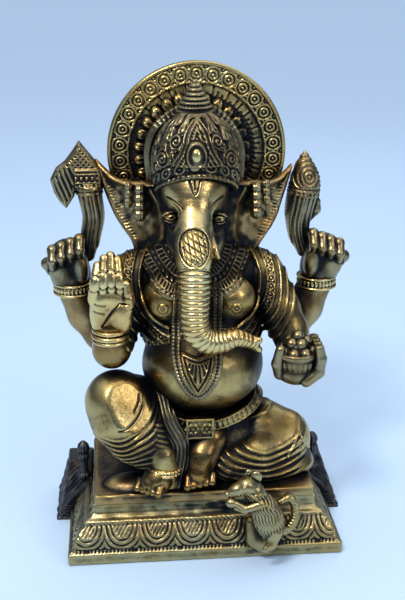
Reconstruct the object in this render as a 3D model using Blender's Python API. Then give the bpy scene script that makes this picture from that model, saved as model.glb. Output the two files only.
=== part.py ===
"""A cast brass seated elephant-headed deity on a stepped plinth, as separate castings.

Blender 4.5. The front of the statue faces -Y, +X is on the viewer's right, and +Z is up.
Sizes are written in millimetres and turned into metres by MM where a mesh is made.
Right and left in the names are the figure's own, so right is at -X.
"""

import math

import bmesh
import bpy
from mathutils import Matrix, Vector

MM = 0.001
GAP = 0.3  # clearance between two castings that touch
SIDES = 9  # sides of a limb
FLAT_ENOUGH = math.radians(1)  # facets nearer than this to one plane are merged

# Plinth, as heights above the table and half widths or depths at those heights
PLINTH_BACK = 33
PLINTH_PROFILE = (
    # height, half width, front
    (0, 91, -74),
    (1.5, 92, -75),
    (8, 92, -75),
    (10, 88.5, -72.5),
    (25, 80.5, -66),
    (28, 77, -62.5),
    (37.7, 75, -61),
)
PLINTH_CORE = ((-1, 91, -74), (9, 88, -72), (26, 78, -64), (38.7, 74, -60))
PLINTH_WALL = 4.5
SLAB_LOW, SLAB_TOP, SLAB_SKIN = 38, 46, 4.5
SLAB_HALF, SLAB_FRONT = 74, -64
WING_INNER_LOW, WING_INNER_TOP, WING_OUTER = 86, 75.5, 102.5
WING_FRONT, WING_BACK = -17, 33
WING_LOW_CORNER, WING_HIGH_CORNER = 8, 31

# Body landmarks
HEAD = Vector((-2, -15, 226))
CROWN = Vector((-1.5, -12, 258))
HALO_CENTRE, HALO_RADIUS, HALO_THICK = Vector((1.5, 20, 257)), 60, 5
BELLY, BELLY_RADII = Vector((2, -20, 121)), (41, 40, 33)
CHEST, CHEST_RADII = Vector((-1, -12, 169)), (43, 31, 31)
HIPS, HIPS_SIDES, HIPS_DEPTH = Vector((0, -16, 72)), 16, 0.72
RIGHT_KNEE, RIGHT_ANKLE = Vector((-54, -39, 101)), Vector((-25, -54, 60))
LEFT_KNEE, LEFT_ANKLE = Vector((58, -26, 67)), Vector((10, -50, 60))
BLESSING_WRIST = Vector((-59.5, -45, 157))
BLESSING_ELBOW = Vector((-59, -36, 139))
BOWL_CENTRE, BOWL_RADIUS = Vector((61, -52, 120)), 13
REAR_WRIST_HEIGHT, REAR_WRIST_OUT, REAR_WRIST_Y = 167, 84, 8
EAR_INNER_Y, EAR_SWEEP, EAR_THICK = -14, 0.55, 4

BRASS_BRIGHT = (0.66, 0.50, 0.24)
BRASS_MID = (0.42, 0.32, 0.15)
BRASS_DARK = (0.16, 0.13, 0.08)


# ---------------------------------------------------------------- solids


def finished(bm):
    """A closed mesh in metres, facing out, from a bmesh in millimetres."""
    bmesh.ops.remove_doubles(bm, verts=bm.verts, dist=1e-4)
    bmesh.ops.recalc_face_normals(bm, faces=bm.faces)
    bmesh.ops.triangulate(bm, faces=bm.faces, quad_method="FIXED")
    bmesh.ops.scale(bm, vec=(MM, MM, MM), verts=bm.verts)
    mesh = bpy.data.meshes.new("solid")
    bm.to_mesh(mesh)
    bm.free()
    return mesh


def loft(bm, rings):
    """Skins a list of rings, each with the same number of points, and closes both ends."""
    made = [[bm.verts.new(point) for point in ring] for ring in rings]
    for low, high in zip(made, made[1:]):
        for i in range(len(low)):
            j = (i + 1) % len(low)
            bm.faces.new((low[i], low[j], high[j], high[i]))
    bm.faces.new(made[0][::-1])
    bm.faces.new(made[-1])


def ball(centre, radii, sides=8):
    """An ellipsoid with half as many rings as sides."""

    def make(grow):
        bm = bmesh.new()
        bmesh.ops.create_uvsphere(bm, u_segments=sides, v_segments=sides // 2, radius=1)
        size = Matrix.Diagonal([r + grow for r in radii] + [1])
        bm.transform(Matrix.Translation(Vector(centre)) @ size)
        return finished(bm)

    return make


def limb(stations, flat=1.0, sides=SIDES, facing=(0, 1, 0)):
    """A round-ended tube through (x, y, z, radius) stations; flat squeezes it along facing."""

    def make(grow):
        points = [Vector(s[:3]) for s in stations]
        radii = [s[3] + grow for s in stations]
        bm = bmesh.new()
        rings = []
        for i, point in enumerate(points):
            ahead = points[min(i + 1, len(points) - 1)]
            behind = points[max(i - 1, 0)]
            along = (ahead - behind).normalized()
            across = Vector(facing).cross(along).normalized()
            deep = along.cross(across)

            def ring(middle, radius):
                squeezed = radius * flat if flat == 1 else radius * flat + grow * (1 - flat)
                return [
                    middle + across * radius * math.cos(a) + deep * squeezed * math.sin(a)
                    for a in (2 * math.pi * k / sides for k in range(sides))
                ]

            r = radii[i]
            if i == 0:
                rings.append(ring(point - along * r * 0.6, r * 0.7))
            rings.append(ring(point, r))
            if i == len(points) - 1:
                rings.append(ring(point + along * r * 0.6, r * 0.7))
        loft(bm, rings)
        return finished(bm)

    return make


def plate(outline, place, along, thickness):
    """An outline of (out, up) points, extruded evenly to both sides of the plane at place."""

    def make(grow):
        right = Vector(along).normalized()
        normal = right.cross(Vector((0, 0, 1))).normalized()
        middle = Vector((0, 0))
        for point in outline:
            middle += Vector(point) / len(outline)
        half = thickness / 2 + grow
        rings = []
        for side in (-half, half):
            ring = []
            for point in outline:
                away = Vector(point) - middle
                u, v = middle + away * (1 + grow / max(away.length, 1))
                ring.append(Vector(place) + right * u + Vector((0, 0, v)) + normal * side)
            rings.append(ring)
        bm = bmesh.new()
        loft(bm, rings)
        return finished(bm)

    return make


def turned(place, profile, axis="Z", sides=14):
    """A profile of (height, radius) points turned about an axis through place."""

    def make(grow):
        rings = []
        last = len(profile) - 1
        for k, (height, radius) in enumerate(profile):
            level = height - grow * (k == 0) + grow * (k == last)
            ring = []
            for i in range(sides):
                angle = 2 * math.pi * i / sides
                out = (radius + grow) * Vector((math.cos(angle), math.sin(angle), 0))
                ring.append(out + Vector((0, 0, level)))
            rings.append(ring)
        bm = bmesh.new()
        loft(bm, rings)
        tilt = {"Z": Matrix(), "Y": Matrix.Rotation(math.radians(90), 4, "X")}[axis]
        bm.transform(Matrix.Translation(Vector(place)) @ tilt)
        return finished(bm)

    return make


def stacked(sections):
    """A solid skinned over horizontal sections, each a (height, list of plan points)."""

    def make(grow):
        rings = []
        last = len(sections) - 1
        for k, (height, plan) in enumerate(sections):
            level = height - grow * (k == 0) + grow * (k == last)
            centre = sum((Vector(p) for p in plan), Vector((0, 0))) / len(plan)
            ring = []
            for p in plan:
                away = Vector(p) - centre
                sign = Vector((math.copysign(1, away.x), math.copysign(1, away.y)))
                x, y = Vector(p) + sign * grow
                ring.append(Vector((x, y, level)))
            rings.append(ring)
        bm = bmesh.new()
        loft(bm, rings)
        return finished(bm)

    return make


# ---------------------------------------------------------------- assembly


def combined(target, mesh, operation):
    """The target mesh joined to, or cut by, another closed mesh."""
    objects = [bpy.data.objects.new("work", m) for m in (target, mesh)]
    for obj in objects:
        bpy.context.scene.collection.objects.link(obj)
    boolean = objects[0].modifiers.new(operation, "BOOLEAN")
    boolean.operation = operation
    boolean.solver = "EXACT"
    boolean.object = objects[1]
    graph = bpy.context.evaluated_depsgraph_get()
    result = bpy.data.meshes.new_from_object(objects[0].evaluated_get(graph))
    for obj in objects:
        bpy.data.objects.remove(obj)
    return result


def largest_body(mesh):
    """Leaves out the slivers that a cut can leave beside the piece."""
    bm = bmesh.new()
    bm.from_mesh(mesh)
    bmesh.ops.remove_doubles(bm, verts=bm.verts, dist=2e-6)
    bmesh.ops.dissolve_degenerate(bm, edges=bm.edges, dist=2e-6)
    left, bodies = set(bm.verts), []
    while left:
        stack, body = [left.pop()], set()
        while stack:
            vert = stack.pop()
            body.add(vert)
            for edge in vert.link_edges:
                other = edge.other_vert(vert)
                if other in left:
                    left.remove(other)
                    stack.append(other)
        bodies.append(body)
    bodies.sort(key=len)
    spare = [vert for body in bodies[:-1] for vert in body]
    bmesh.ops.delete(bm, geom=spare, context="VERTS")
    bmesh.ops.dissolve_limit(bm, angle_limit=FLAT_ENOUGH, verts=bm.verts, edges=bm.edges)
    bmesh.ops.triangulate(bm, faces=bm.faces)
    bm.to_mesh(mesh)
    bm.free()
    return mesh


def box_of(mesh):
    low = Vector([min(v.co[k] for v in mesh.vertices) for k in range(3)])
    high = Vector([max(v.co[k] for v in mesh.vertices) for k in range(3)])
    return low, high


def boxes_meet(first, second):
    return all(first[0][k] < second[1][k] and second[0][k] < first[1][k] for k in range(3))


class Castings:
    """The pieces so far. Each new piece is cut back to clear the ones placed before it."""

    def __init__(self):
        self.cutters = []
        self.made = []

    def add(self, name, colour, shapes, hollow=(), roughness=0.35):
        mesh = shapes[0](0)
        for shape in shapes[1:]:
            mesh = combined(mesh, shape(0), "UNION")
        for shape in hollow:
            mesh = combined(mesh, shape(0), "DIFFERENCE")
        for cutter in self.cutters:
            if boxes_meet(box_of(mesh), box_of(cutter)):
                mesh = combined(mesh, cutter, "DIFFERENCE")
        mesh = largest_body(mesh)
        mesh.name = name
        mesh.materials.clear()
        mesh.materials.append(metal(name, colour, roughness))
        mesh.shade_smooth()
        mesh.set_sharp_from_angle(angle=math.radians(40))
        obj = bpy.data.objects.new(name, mesh)
        bpy.context.scene.collection.objects.link(obj)
        self.made.append(obj)
        self.cutters += [shape(GAP) for shape in shapes]

    def stand_on_axis(self):
        """Moves every piece so that the middle of the whole statue's box is on the Z axis."""
        boxes = [box_of(obj.data) for obj in self.made]
        low = Vector([min(b[0][k] for b in boxes) for k in range(3)])
        high = Vector([max(b[1][k] for b in boxes) for k in range(3)])
        middle = (low + high) / 2
        for obj in self.made:
            obj.location = (-middle.x, -middle.y, 0)


def metal(name, colour, roughness):
    material = bpy.data.materials.new(name)
    material.use_nodes = True
    shader = material.node_tree.nodes["Principled BSDF"]
    shader.inputs["Base Color"].default_value = (*colour, 1)
    shader.inputs["Metallic"].default_value = 1
    shader.inputs["Roughness"].default_value = roughness
    return material


def mirrored(points, side):
    """Points given for the left, +X, side, put on either side."""
    return [(side * p[0], *p[1:]) for p in points]


# ---------------------------------------------------------------- pieces


def add_head_ornaments(castings):
    castings.add("crown_gem", BRASS_BRIGHT, [ball((-3.2, -37.5, 266), (4.4, 2.6, 6.2))])
    right_edge = [(17, 253), (18, 262), (13, 272), (7, 280)]
    left_edge = [(-x, z) for x, z in reversed(right_edge)]
    panel = [*right_edge, (0, 288), *left_edge]
    castings.add("crown_panel", BRASS_MID, [plate(panel, (CROWN.x, -36, 0), (1, 0, 0), 4)])
    rings = [(286, 14), (290, 13), (292, 11), (296, 10), (300, 6.5), (304, 4), (307.5, 1.5)]
    castings.add("crown_finial", BRASS_DARK, [turned((CROWN.x, -6, 0), rings, sides=12)])
    for side, name in ((-1, "right"), (1, "left")):
        outer = mirrored([(45, -6, 240, 2.2), (45.5, -6.5, 229, 2.8)], side)
        inner = mirrored([(38, -10.5, 238, 2.6), (38.5, -10.5, 224, 4.4)], side)
        castings.add(f"{name}_ear_pendant_outer", BRASS_MID, [limb(outer, sides=7)])
        castings.add(f"{name}_ear_pendant_inner", BRASS_MID, [limb(inner, sides=7)])


def add_neck_ornaments(castings):
    strand = [
        (-24, -41, 180, 2.6),
        (-21, -46, 165, 2.6),
        (-18.5, -51, 150, 2.6),
        (-16, -58, 134, 2.6),
        (-11, -61, 122, 2.8),
        (-4.5, -61.5, 117, 3),
        (2.5, -61, 122, 2.8),
        (7, -58, 134, 2.6),
        (9.5, -51, 150, 2.6),
        (10, -46, 165, 2.6),
        (10, -41, 180, 2.6),
    ]
    castings.add("garland", BRASS_MID, [limb(strand, sides=6)])
    castings.add("garland_pendant", BRASS_BRIGHT, [ball((-4.5, -59.5, 129), (7.5, 4, 8.5))])
    collar = [
        (-38, -22, 195, 3.5),
        (-32, -31, 185, 4.2),
        (-20, -39, 176, 4.6),
        (-3, -43.5, 171, 4.8),
        (12, -41, 175, 4.6),
        (23, -33, 184, 4.2),
        (29, -24, 194, 3.5),
    ]
    castings.add("collar", BRASS_MID, [limb(collar, sides=7)])
    strap = [
        (-38, -27, 137, 2.6),
        (-29, -38, 144, 2.6),
        (-14, -42, 153, 2.6),
        (2, -43.5, 156, 2.6),
        (18, -42, 155, 2.6),
        (32, -34, 152, 2.6),
        (40, -24, 151, 2.6),
    ]
    castings.add("chest_strap", BRASS_MID, [limb(strap, sides=6)])


def add_waist_ornaments(castings):
    buckle = [(-10, 80), (10, 80), (10, 96), (-10, 96)]
    castings.add("belt_buckle", BRASS_MID, [plate(buckle, (-2.7, -54, 0), (1, 0, 0), 5)])
    girdle = [
        (-42, -20, 106, 3.4),
        (-32, -37, 99, 3.6),
        (-18, -47, 91, 3.8),
        (-2.7, -50.5, 88, 4),
        (12, -48.5, 89, 3.8),
        (30, -40, 94, 3.6),
        (42, -27, 100, 3.4),
        (47, -12, 104, 3.2),
    ]
    castings.add("belt", BRASS_MID, [limb(girdle, sides=7)])
    cloth = [
        (-30, -43, 108, 4),
        (-22, -52, 93, 5),
        (-15.5, -57, 77, 5),
        (-18, -59.5, 62, 4.6),
        (-21, -60, 51, 4),
    ]
    castings.add("waist_cloth", BRASS_MID, [limb(cloth, flat=0.7, sides=8)])


def add_arm_ornaments(castings):
    for side, name in ((-1, "right"), (1, "left")):
        place = (side * REAR_WRIST_OUT, REAR_WRIST_Y, REAR_WRIST_HEIGHT)
        ring = [(-4, 12.5), (-2.5, 14), (0, 13.3), (2.5, 14), (4, 12.5)]
        castings.add(f"{name}_rear_bangle", BRASS_BRIGHT, [turned(place, ring)])
        drape = [
            (38, -14, 192, 4),
            (50, -16, 182, 5),
            (56, -18, 170, 5.5),
            (54, -24, 157, 5.5),
            (44, -29, 149, 4.5),
        ]
        castings.add(f"{name}_sash", BRASS_MID, [limb(mirrored(drape, side), sides=8)])
    cuff = [(-5, 11), (-3, 12.2), (0, 11.6), (3, 12.2), (5, 11)]
    castings.add("blessing_bangle", BRASS_BRIGHT, [turned(BLESSING_WRIST - Vector((0, 0, 4)), cuff)])
    shackle = [(-2.5, 11.5), (0, 13), (2.5, 11.5)]
    castings.add("right_anklet", BRASS_BRIGHT, [turned((-26, -54.5, 60), shackle)])


def add_attributes(castings):
    handle = [(-73, 8, 192, 5.5), (-71, 8, 203, 6.5), (-68.5, 10, 216, 7.4), (-71, 11, 228, 7.8)]
    castings.add("axe_handle", BRASS_MID, [limb(handle)])
    blade = [
        (-62.5, 233),
        (-62.5, 243),
        (-66.3, 254),
        (-76.6, 266.5),
        (-86, 254),
        (-92, 248.5),
        (-96.4, 241),
        (-93, 232),
        (-86.4, 222.3),
        (-81, 231),
    ]
    castings.add("axe_head", BRASS_MID, [plate(blade, (0, 12, 0), (1, 0, 0), 11)])
    coil = [
        (74, 12, 254, 1.8),
        (74, 12, 247, 6),
        (74, 12, 238, 9.4),
        (73, 12, 226, 10),
        (70.5, 11, 213, 9),
        (71, 10, 202, 7),
        (74, 8, 192, 5),
    ]
    castings.add("noose", BRASS_MID, [limb(coil), ball((82, 11, 218), (4.5, 5, 5))])
    cup = [(0, 5), (2, 9), (6, 12), (12, BOWL_RADIUS), (17, BOWL_RADIUS + 1)]
    castings.add("sweets_bowl", BRASS_MID, [turned(BOWL_CENTRE, cup)])
    heap = ball(BOWL_CENTRE + Vector((0, 0, 19)), (11.5, 11.5, 8))
    top_sweet = ball(BOWL_CENTRE + Vector((4, 0, 25)), (6, 6, 5))
    castings.add("sweets", BRASS_BRIGHT, [heap, top_sweet])


def finger(root, tip, thick):
    middle = (Vector(root) + Vector(tip)) / 2 + Vector((0, -1, 0))
    return limb([(*root, thick), (*middle, thick), (*tip, thick * 0.8)], sides=8)


def add_hands(castings):
    palm = limb([(*BLESSING_WRIST, 9.5), (-58.6, -46, 168, 11.5), (-58.6, -46, 182, 12)], flat=0.55)
    shapes = [palm]
    spread = ((-67, -65.5, 199), (-61.5, -60.5, 203.5), (-55.5, -55, 205.5), (-50.5, -50, 201))
    for root_x, tip_x, tip_z in spread:
        shapes.append(finger((root_x, -46, 183), (tip_x, -45, tip_z), 3.4))
    shapes.append(finger((-49.5, -49, 172), (-47.5, -50, 189), 3.6))
    castings.add("blessing_hand", BRASS_BRIGHT, shapes, roughness=0.25)
    for side, name in ((-1, "right"), (1, "left")):
        palm = limb(mirrored([(84, 7, 172, 11.5), (86, 5, 184, 14), (88, 3, 196, 13)], side), flat=0.75)
        shapes = [palm]
        for k in range(4):
            knuckle = (side * (79 + 6 * k), -3, 205 - 2.2 * k)
            shapes.append(ball(knuckle, (4.2, 8.5, 6.5), 6))
        shapes.append(ball((side * 99, 3, 186), (4.2, 6, 8)))
        castings.add(f"{name}_rear_hand", BRASS_MID, shapes)
    grip = [ball((61, -49, 122), (13.5, 15, 7.5))]
    for k in range(4):
        grip.append(ball((75, -58 + 6 * k, 132), (3.4, 3.8, 11), 6))
    grip.append(limb([(62, -40, 124, 10), (62, -34, 129, 10)]))
    castings.add("bowl_hand", BRASS_MID, grip)


def add_trunk_and_tusks(castings):
    trunk = [
        (-5.5, -40, 218, 11.5),
        (-6, -52, 206, 10.8),
        (-6.5, -61, 192, 10.2),
        (-7, -66, 178, 9.6),
        (-7, -67.5, 168, 9.2),
        (-4.5, -68, 160, 8.8),
        (2, -67.5, 155, 8.2),
        (10, -66, 154.5, 7.2),
        (19, -64, 155.5, 5.6),
        (27, -61, 152, 4.6),
        (34, -58, 148.5, 3.6),
    ]
    castings.add("trunk", BRASS_BRIGHT, [limb(trunk)], roughness=0.25)
    for side, name in ((-1, "right"), (1, "left")):
        tusk = [(HEAD.x + side * 13, -36, 217, 4), (HEAD.x + side * 16, -46, 204, 2.4)]
        castings.add(f"{name}_tusk", BRASS_BRIGHT, [limb(tusk, sides=8)])


def ear_outline():
    """The fan of the ear as (distance out from the middle of the head, height) points."""
    return [
        (18, 232),
        (24, 241),
        (36, 242.5),
        (47, 241),
        (57, 245.5),
        (66, 252),
        (63.5, 239),
        (59, 227),
        (52.5, 213.5),
        (44, 203),
        (39.5, 194.5),
        (26, 203),
        (18, 212),
    ]


def add_ears(castings):
    for side, name in ((-1, "right"), (1, "left")):
        outline = [(u / math.cos(math.atan(EAR_SWEEP)) - 21, v) for u, v in ear_outline()]
        start = (side * 18, EAR_INNER_Y, 0)
        castings.add(f"{name}_ear", BRASS_MID, [plate(outline, start, (side, EAR_SWEEP, 0), EAR_THICK)])


def add_legs(castings):
    toes = [limb([(-27, -55, 54, 7), (-33, -62, 51.5, 5.5), (-37, -67, 50, 4)], facing=(0, 0, 1))]
    castings.add("right_foot", BRASS_MID, toes)
    sole = [limb([(-2, -50, 68, 8.5), (-4, -57, 58, 8), (-6, -61, 52, 5.5)])]
    castings.add("left_foot", BRASS_MID, sole)
    raised = [
        (-30, -12, 84, 21),
        (-46, -30, 98, 22.5),
        (*RIGHT_KNEE, 23),
        (-50, -41, 90, 22),
        (-43, -44, 77, 20),
    ]
    shin = limb([(-36, -45, 78, 14), (-28, -52, 68, 10.5), (*RIGHT_ANKLE, 9)])
    castings.add("right_leg", BRASS_MID, [limb(raised[:3]), limb(raised[2:]), shin])
    thigh = limb([(22, -12, 76, 19), (42, -22, 71, 20), (*LEFT_KNEE, 19.5)])
    calf = limb([(57, -34, 63, 15.5), (36, -44, 61, 14.3), (*LEFT_ANKLE, 12.5)])
    castings.add("left_leg", BRASS_MID, [thigh, calf])


def add_arms(castings):
    front_right = [(-40, -12, 176, 13), (-52, -22, 158, 12.5), (*BLESSING_ELBOW, 12)]
    rise = [(*BLESSING_ELBOW, 11.5), (*BLESSING_WRIST, 9.8)]
    castings.add("right_front_arm", BRASS_MID, [limb(front_right), limb(rise)])
    front_left = [(42, -12, 174, 13), (54, -18, 158, 12.5), (60, -22, 144, 12)]
    reach = [(60, -22, 144, 11.5), (62, -32, 131, 10)]
    castings.add("left_front_arm", BRASS_MID, [limb(front_left), limb(reach)])
    for side, name in ((-1, "right"), (1, "left")):
        upper = mirrored([(40, 0, 178, 14), (52, 4, 156, 13.5), (64, 6, 134, 13)], side)
        fore = mirrored([(64, 6, 134, 13), (76, 8, 148, 13), (84, 8, 168, 12)], side)
        castings.add(f"{name}_rear_arm", BRASS_MID, [limb(upper), limb(fore)])


def add_head_and_halo(castings):
    bands = [
        (237, 22),
        (240, 26),
        (248, 27.5),
        (258, 27.5),
        (268, 25.5),
        (277, 21.5),
        (284, 16.5),
        (289, 10),
    ]
    castings.add("crown", BRASS_DARK, [turned((CROWN.x, CROWN.y, 0), bands, sides=20)])
    face = ball(HEAD, (21.5, 24, 26), 12)
    brow = ball(HEAD + Vector((-1, -9, 3)), (17, 17, 16), 10)
    neck = limb([(-2, -10, 206, 17), (-2, -8, 192, 19)])
    castings.add("head", BRASS_BRIGHT, [face, brow, neck], roughness=0.25)
    rim = HALO_THICK / 2
    disc = [
        (-rim, HALO_RADIUS - 1),
        (-rim + 1, HALO_RADIUS),
        (rim - 1, HALO_RADIUS),
        (rim, HALO_RADIUS - 1),
    ]
    bar = [(1, 12, 176, 5), (1, 20.5, 192, 5), (1, 28, 206, 4.5), (1, 28, 240, 4)]
    castings.add("halo_strut", BRASS_DARK, [limb(bar, sides=8, facing=(1, 0, 0))])
    castings.add("halo", BRASS_MID, [turned(HALO_CENTRE, disc, axis="Y", sides=48)])


def add_body(castings):
    for side, name in ((-1, "right"), (1, "left")):
        bolt = [(36.5, 6), (41.2, 6), (41.3, 3), (60, 3)]
        castings.add(f"{name}_figure_bolt", BRASS_DARK, [turned((side * 22, -14, 0), bolt, sides=12)])
    breasts = [ball((side * 23 - 1.5, -33, 171), (13.5, 12, 16)) for side in (-1, 1)]
    body = [ball(BELLY, BELLY_RADII, 18), ball(CHEST, CHEST_RADII, 14), *breasts]
    castings.add("torso", BRASS_MID, body)
    seat = [(SLAB_TOP + GAP, 46), (50, 52), (62, 54), (80, 48), (92, 38)]
    hips = []
    for height, half in seat:
        plan = []
        for k in range(HIPS_SIDES):
            a = 2 * math.pi * k / HIPS_SIDES
            plan.append((HIPS.x + half * math.cos(a), HIPS.y + HIPS_DEPTH * half * math.sin(a)))
        hips.append((height, plan))
    castings.add("hips", BRASS_MID, [stacked(hips)])


def rectangle(half, front, back):
    return [(-half, front), (half, front), (half, back), (-half, back)]


def pocket_plan():
    return rectangle(SLAB_HALF - 8, SLAB_FRONT + 9, PLINTH_BACK - 9)


def add_plinth(castings):
    rodent = [
        (41, -83, 30, 8.5),
        (37, -84, 42, 8),
        (31, -84, 53, 6.5),
        (26, -83, 60, 6),
        (15, -83, 56, 3),
    ]
    forelegs = [(31, -86, 50, 3), (22, -87, 46, 2.6), (15, -85, 52, 2.4)]
    ear = ball((31, -80, 65), (3.5, 2, 4.5))
    hind = [(41, -86, 24, 4.5), (38, -89, 19.5, 3)]
    animal = [limb(rodent, sides=9), limb(forelegs, sides=6), ear, limb(hind, sides=6)]
    castings.add("mouse", BRASS_MID, animal)
    curl = [
        (49, -80, 24, 2.2),
        (56, -77, 29, 2.2),
        (58.5, -75, 38, 2.2),
        (54, -75.5, 45, 2.2),
        (47.5, -77.5, 44, 2.2),
    ]
    castings.add("mouse_tail", BRASS_MID, [limb(curl, sides=6)])
    ledge = limb([(38, -80, 8.5, 8), (40, -76, 18, 11), (41, -71, 28, 8)], sides=9)
    castings.add("mouse_ledge", BRASS_DARK, [ledge])
    slab = [
        (SLAB_LOW, rectangle(SLAB_HALF - 1, SLAB_FRONT + 1, PLINTH_BACK - 1)),
        (SLAB_LOW + 1, rectangle(SLAB_HALF, SLAB_FRONT, PLINTH_BACK - 1)),
        (SLAB_TOP - 1, rectangle(SLAB_HALF - 0.5, SLAB_FRONT + 0.5, PLINTH_BACK - 1)),
        (SLAB_TOP, rectangle(SLAB_HALF - 1.5, SLAB_FRONT + 1.5, PLINTH_BACK - 2)),
    ]
    pocket = [(SLAB_LOW - 1, pocket_plan()), (SLAB_TOP - SLAB_SKIN, pocket_plan())]
    castings.add("seat_slab", BRASS_MID, [stacked(slab)], hollow=[stacked(pocket)])
    core = [
        (height, rectangle(half - PLINTH_WALL, front + PLINTH_WALL, PLINTH_BACK - PLINTH_WALL))
        for height, half, front in PLINTH_CORE
    ]
    shell = [(height, rectangle(half, front, PLINTH_BACK)) for height, half, front in PLINTH_PROFILE]
    castings.add("plinth", BRASS_MID, [stacked(shell)], hollow=[stacked(core)])
    for side, name in ((-1, "right"), (1, "left")):
        castings.add(f"plinth_wing_{name}", BRASS_DARK, [wing(side)], roughness=0.55)
        post = [(31.3, 4.5), (36, 3), (46, 3.2), (50, 5.5), (55, 5), (58, 2)]
        castings.add(f"throne_post_{name}", BRASS_MID, [turned((side * 81.5, -10, 0), post, sides=12)])


def wing(side):
    """The flank beside the plinth, whose top falls away to its front outer corner."""

    def make(grow):
        bm = bmesh.new()
        inner_low, inner_top, outer = (side * x for x in (WING_INNER_LOW, WING_INNER_TOP, WING_OUTER))
        reach = side * grow
        corners = [
            (inner_low - reach, WING_FRONT - grow, 0 - grow),
            (outer + reach, WING_FRONT - grow, 0 - grow),
            (outer + reach, WING_BACK + grow, 0 - grow),
            (inner_low - reach, WING_BACK + grow, 0 - grow),
            (inner_top - reach, WING_FRONT - grow, WING_HIGH_CORNER + grow),
            (outer + reach, WING_FRONT - grow, WING_LOW_CORNER + grow),
            (outer - side * 4 + reach, WING_BACK + grow, WING_HIGH_CORNER + grow),
            (inner_top - reach, WING_BACK + grow, WING_HIGH_CORNER + grow),
        ]
        verts = [bm.verts.new(c) for c in corners]
        walls = ((0, 1, 5, 4), (1, 2, 6, 5), (2, 3, 7, 6), (3, 0, 4, 7))
        underside_and_top = ((3, 2, 1, 0), (4, 5, 6), (4, 6, 7))
        for face in walls + underside_and_top:
            bm.faces.new([verts[i] for i in face])
        return finished(bm)

    return make


def main():
    for obj in list(bpy.data.objects):
        bpy.data.objects.remove(obj)
    castings = Castings()
    add_head_ornaments(castings)
    add_neck_ornaments(castings)
    add_waist_ornaments(castings)
    add_arm_ornaments(castings)
    add_attributes(castings)
    add_hands(castings)
    add_trunk_and_tusks(castings)
    add_legs(castings)
    add_arms(castings)
    add_head_and_halo(castings)
    add_ears(castings)
    add_body(castings)
    add_plinth(castings)
    castings.stand_on_axis()


main()
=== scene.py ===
"""The looks of a cast brass seated elephant-headed deity on a stepped plinth.

Every visible surface is worked out as a distance field in millimetres, in the statue's own
coordinates: X to the viewer's right, Y away from the viewer, Z up from the table. Each field is
turned into a mesh near the CAD piece that it stands for. Right and left in the names are the
figure's own, so right is at -X.
"""

import math
from functools import reduce

import bpy
import numpy as np
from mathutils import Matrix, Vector
from numpy import arctan2, clip, hypot, maximum, minimum, sin, sqrt, where


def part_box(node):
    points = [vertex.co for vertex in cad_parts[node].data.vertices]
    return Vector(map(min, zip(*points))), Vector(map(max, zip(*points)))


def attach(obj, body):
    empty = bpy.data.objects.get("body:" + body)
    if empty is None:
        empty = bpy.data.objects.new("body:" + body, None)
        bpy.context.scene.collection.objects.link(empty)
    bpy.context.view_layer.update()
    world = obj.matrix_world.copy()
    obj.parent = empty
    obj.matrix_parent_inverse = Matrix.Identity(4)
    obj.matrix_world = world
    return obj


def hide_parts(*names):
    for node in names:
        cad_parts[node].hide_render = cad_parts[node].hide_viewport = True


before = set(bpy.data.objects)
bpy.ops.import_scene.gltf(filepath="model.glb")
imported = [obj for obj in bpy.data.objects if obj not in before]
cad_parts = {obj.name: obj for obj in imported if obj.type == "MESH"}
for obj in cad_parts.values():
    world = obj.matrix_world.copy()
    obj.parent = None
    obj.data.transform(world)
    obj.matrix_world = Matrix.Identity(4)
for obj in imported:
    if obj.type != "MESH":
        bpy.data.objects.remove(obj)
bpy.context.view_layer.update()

MM = 0.001
TURN = 2 * math.pi
SIDES = ((-1, "right"), (1, "left"))
PLINTH_LOW, PLINTH_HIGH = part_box("plinth")
# Y of the plinth's middle in the statue's own coordinates, where its X is 0 and its Z starts at 0.
PLINTH_Y = -21
# From the statue's own coordinates to the frame's, both in millimetres.
SHIFT = np.array(
    (
        (PLINTH_LOW.x + PLINTH_HIGH.x) / 2 / MM,
        (PLINTH_LOW.y + PLINTH_HIGH.y) / 2 / MM - PLINTH_Y,
        PLINTH_LOW.z / MM,
    )
)
PIECES = []

# ---- numbers


def mirrored(side, points):
    """The points as they are for side 1, and with X turned over for side -1."""
    return [(side * x, *rest) for x, *rest in points]


def arr(*values):
    return np.array(values, float)


def length(v):
    return sqrt((v * v).sum(-1))


def step_up(low, high, x):
    """0 below low and 1 above high, smooth between them."""
    t = clip((x - low) / (high - low), 0, 1)
    return t * t * (3 - 2 * t)


def soft_min(a, b, k):
    h = clip(0.5 + 0.5 * (b - a) / k, 0, 1)
    return b + (a - b) * h - k * h * (1 - h)


def soft_max(a, b, k):
    return -soft_min(-a, -b, k)


def highest(*values):
    """The largest at each point: for distances, the shape that lies inside all of them."""
    return reduce(maximum, values)


def bell(x, width):
    """1 at 0, falling away smoothly over that width."""
    return np.exp(-((x / width) ** 2))


def arc(x):
    """The height of a half circle of radius 1 at x, and 0 beyond it."""
    return sqrt(maximum(1 - x**2, 0))


def wrap(x, period):
    """x brought into -period/2 .. period/2."""
    return (x + period / 2) % period - period / 2


def wave(x, period):
    """A rounded ridge every period, from 0 to 1."""
    return 0.5 + 0.5 * np.cos(TURN * x / period)


# How many waves make up the grain.
WAVES = 14


def grain(P, size, seed):
    """Smooth unrepeating lumps of about that size, roughly from -1 to 1."""
    rng = np.random.default_rng(seed)
    total = 0
    for _ in range(WAVES):
        way = rng.normal(size=3)
        way *= TURN / size / length(way) * rng.uniform(0.7, 1.4)
        total = total + sin(P @ way + rng.uniform(0, 6.28))
    return total / 4.6


# ---- fields

# How many points are handled at once, to bound the memory used.
SEARCH_CHUNK, FIELD_CHUNK = 60000, 250000


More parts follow.
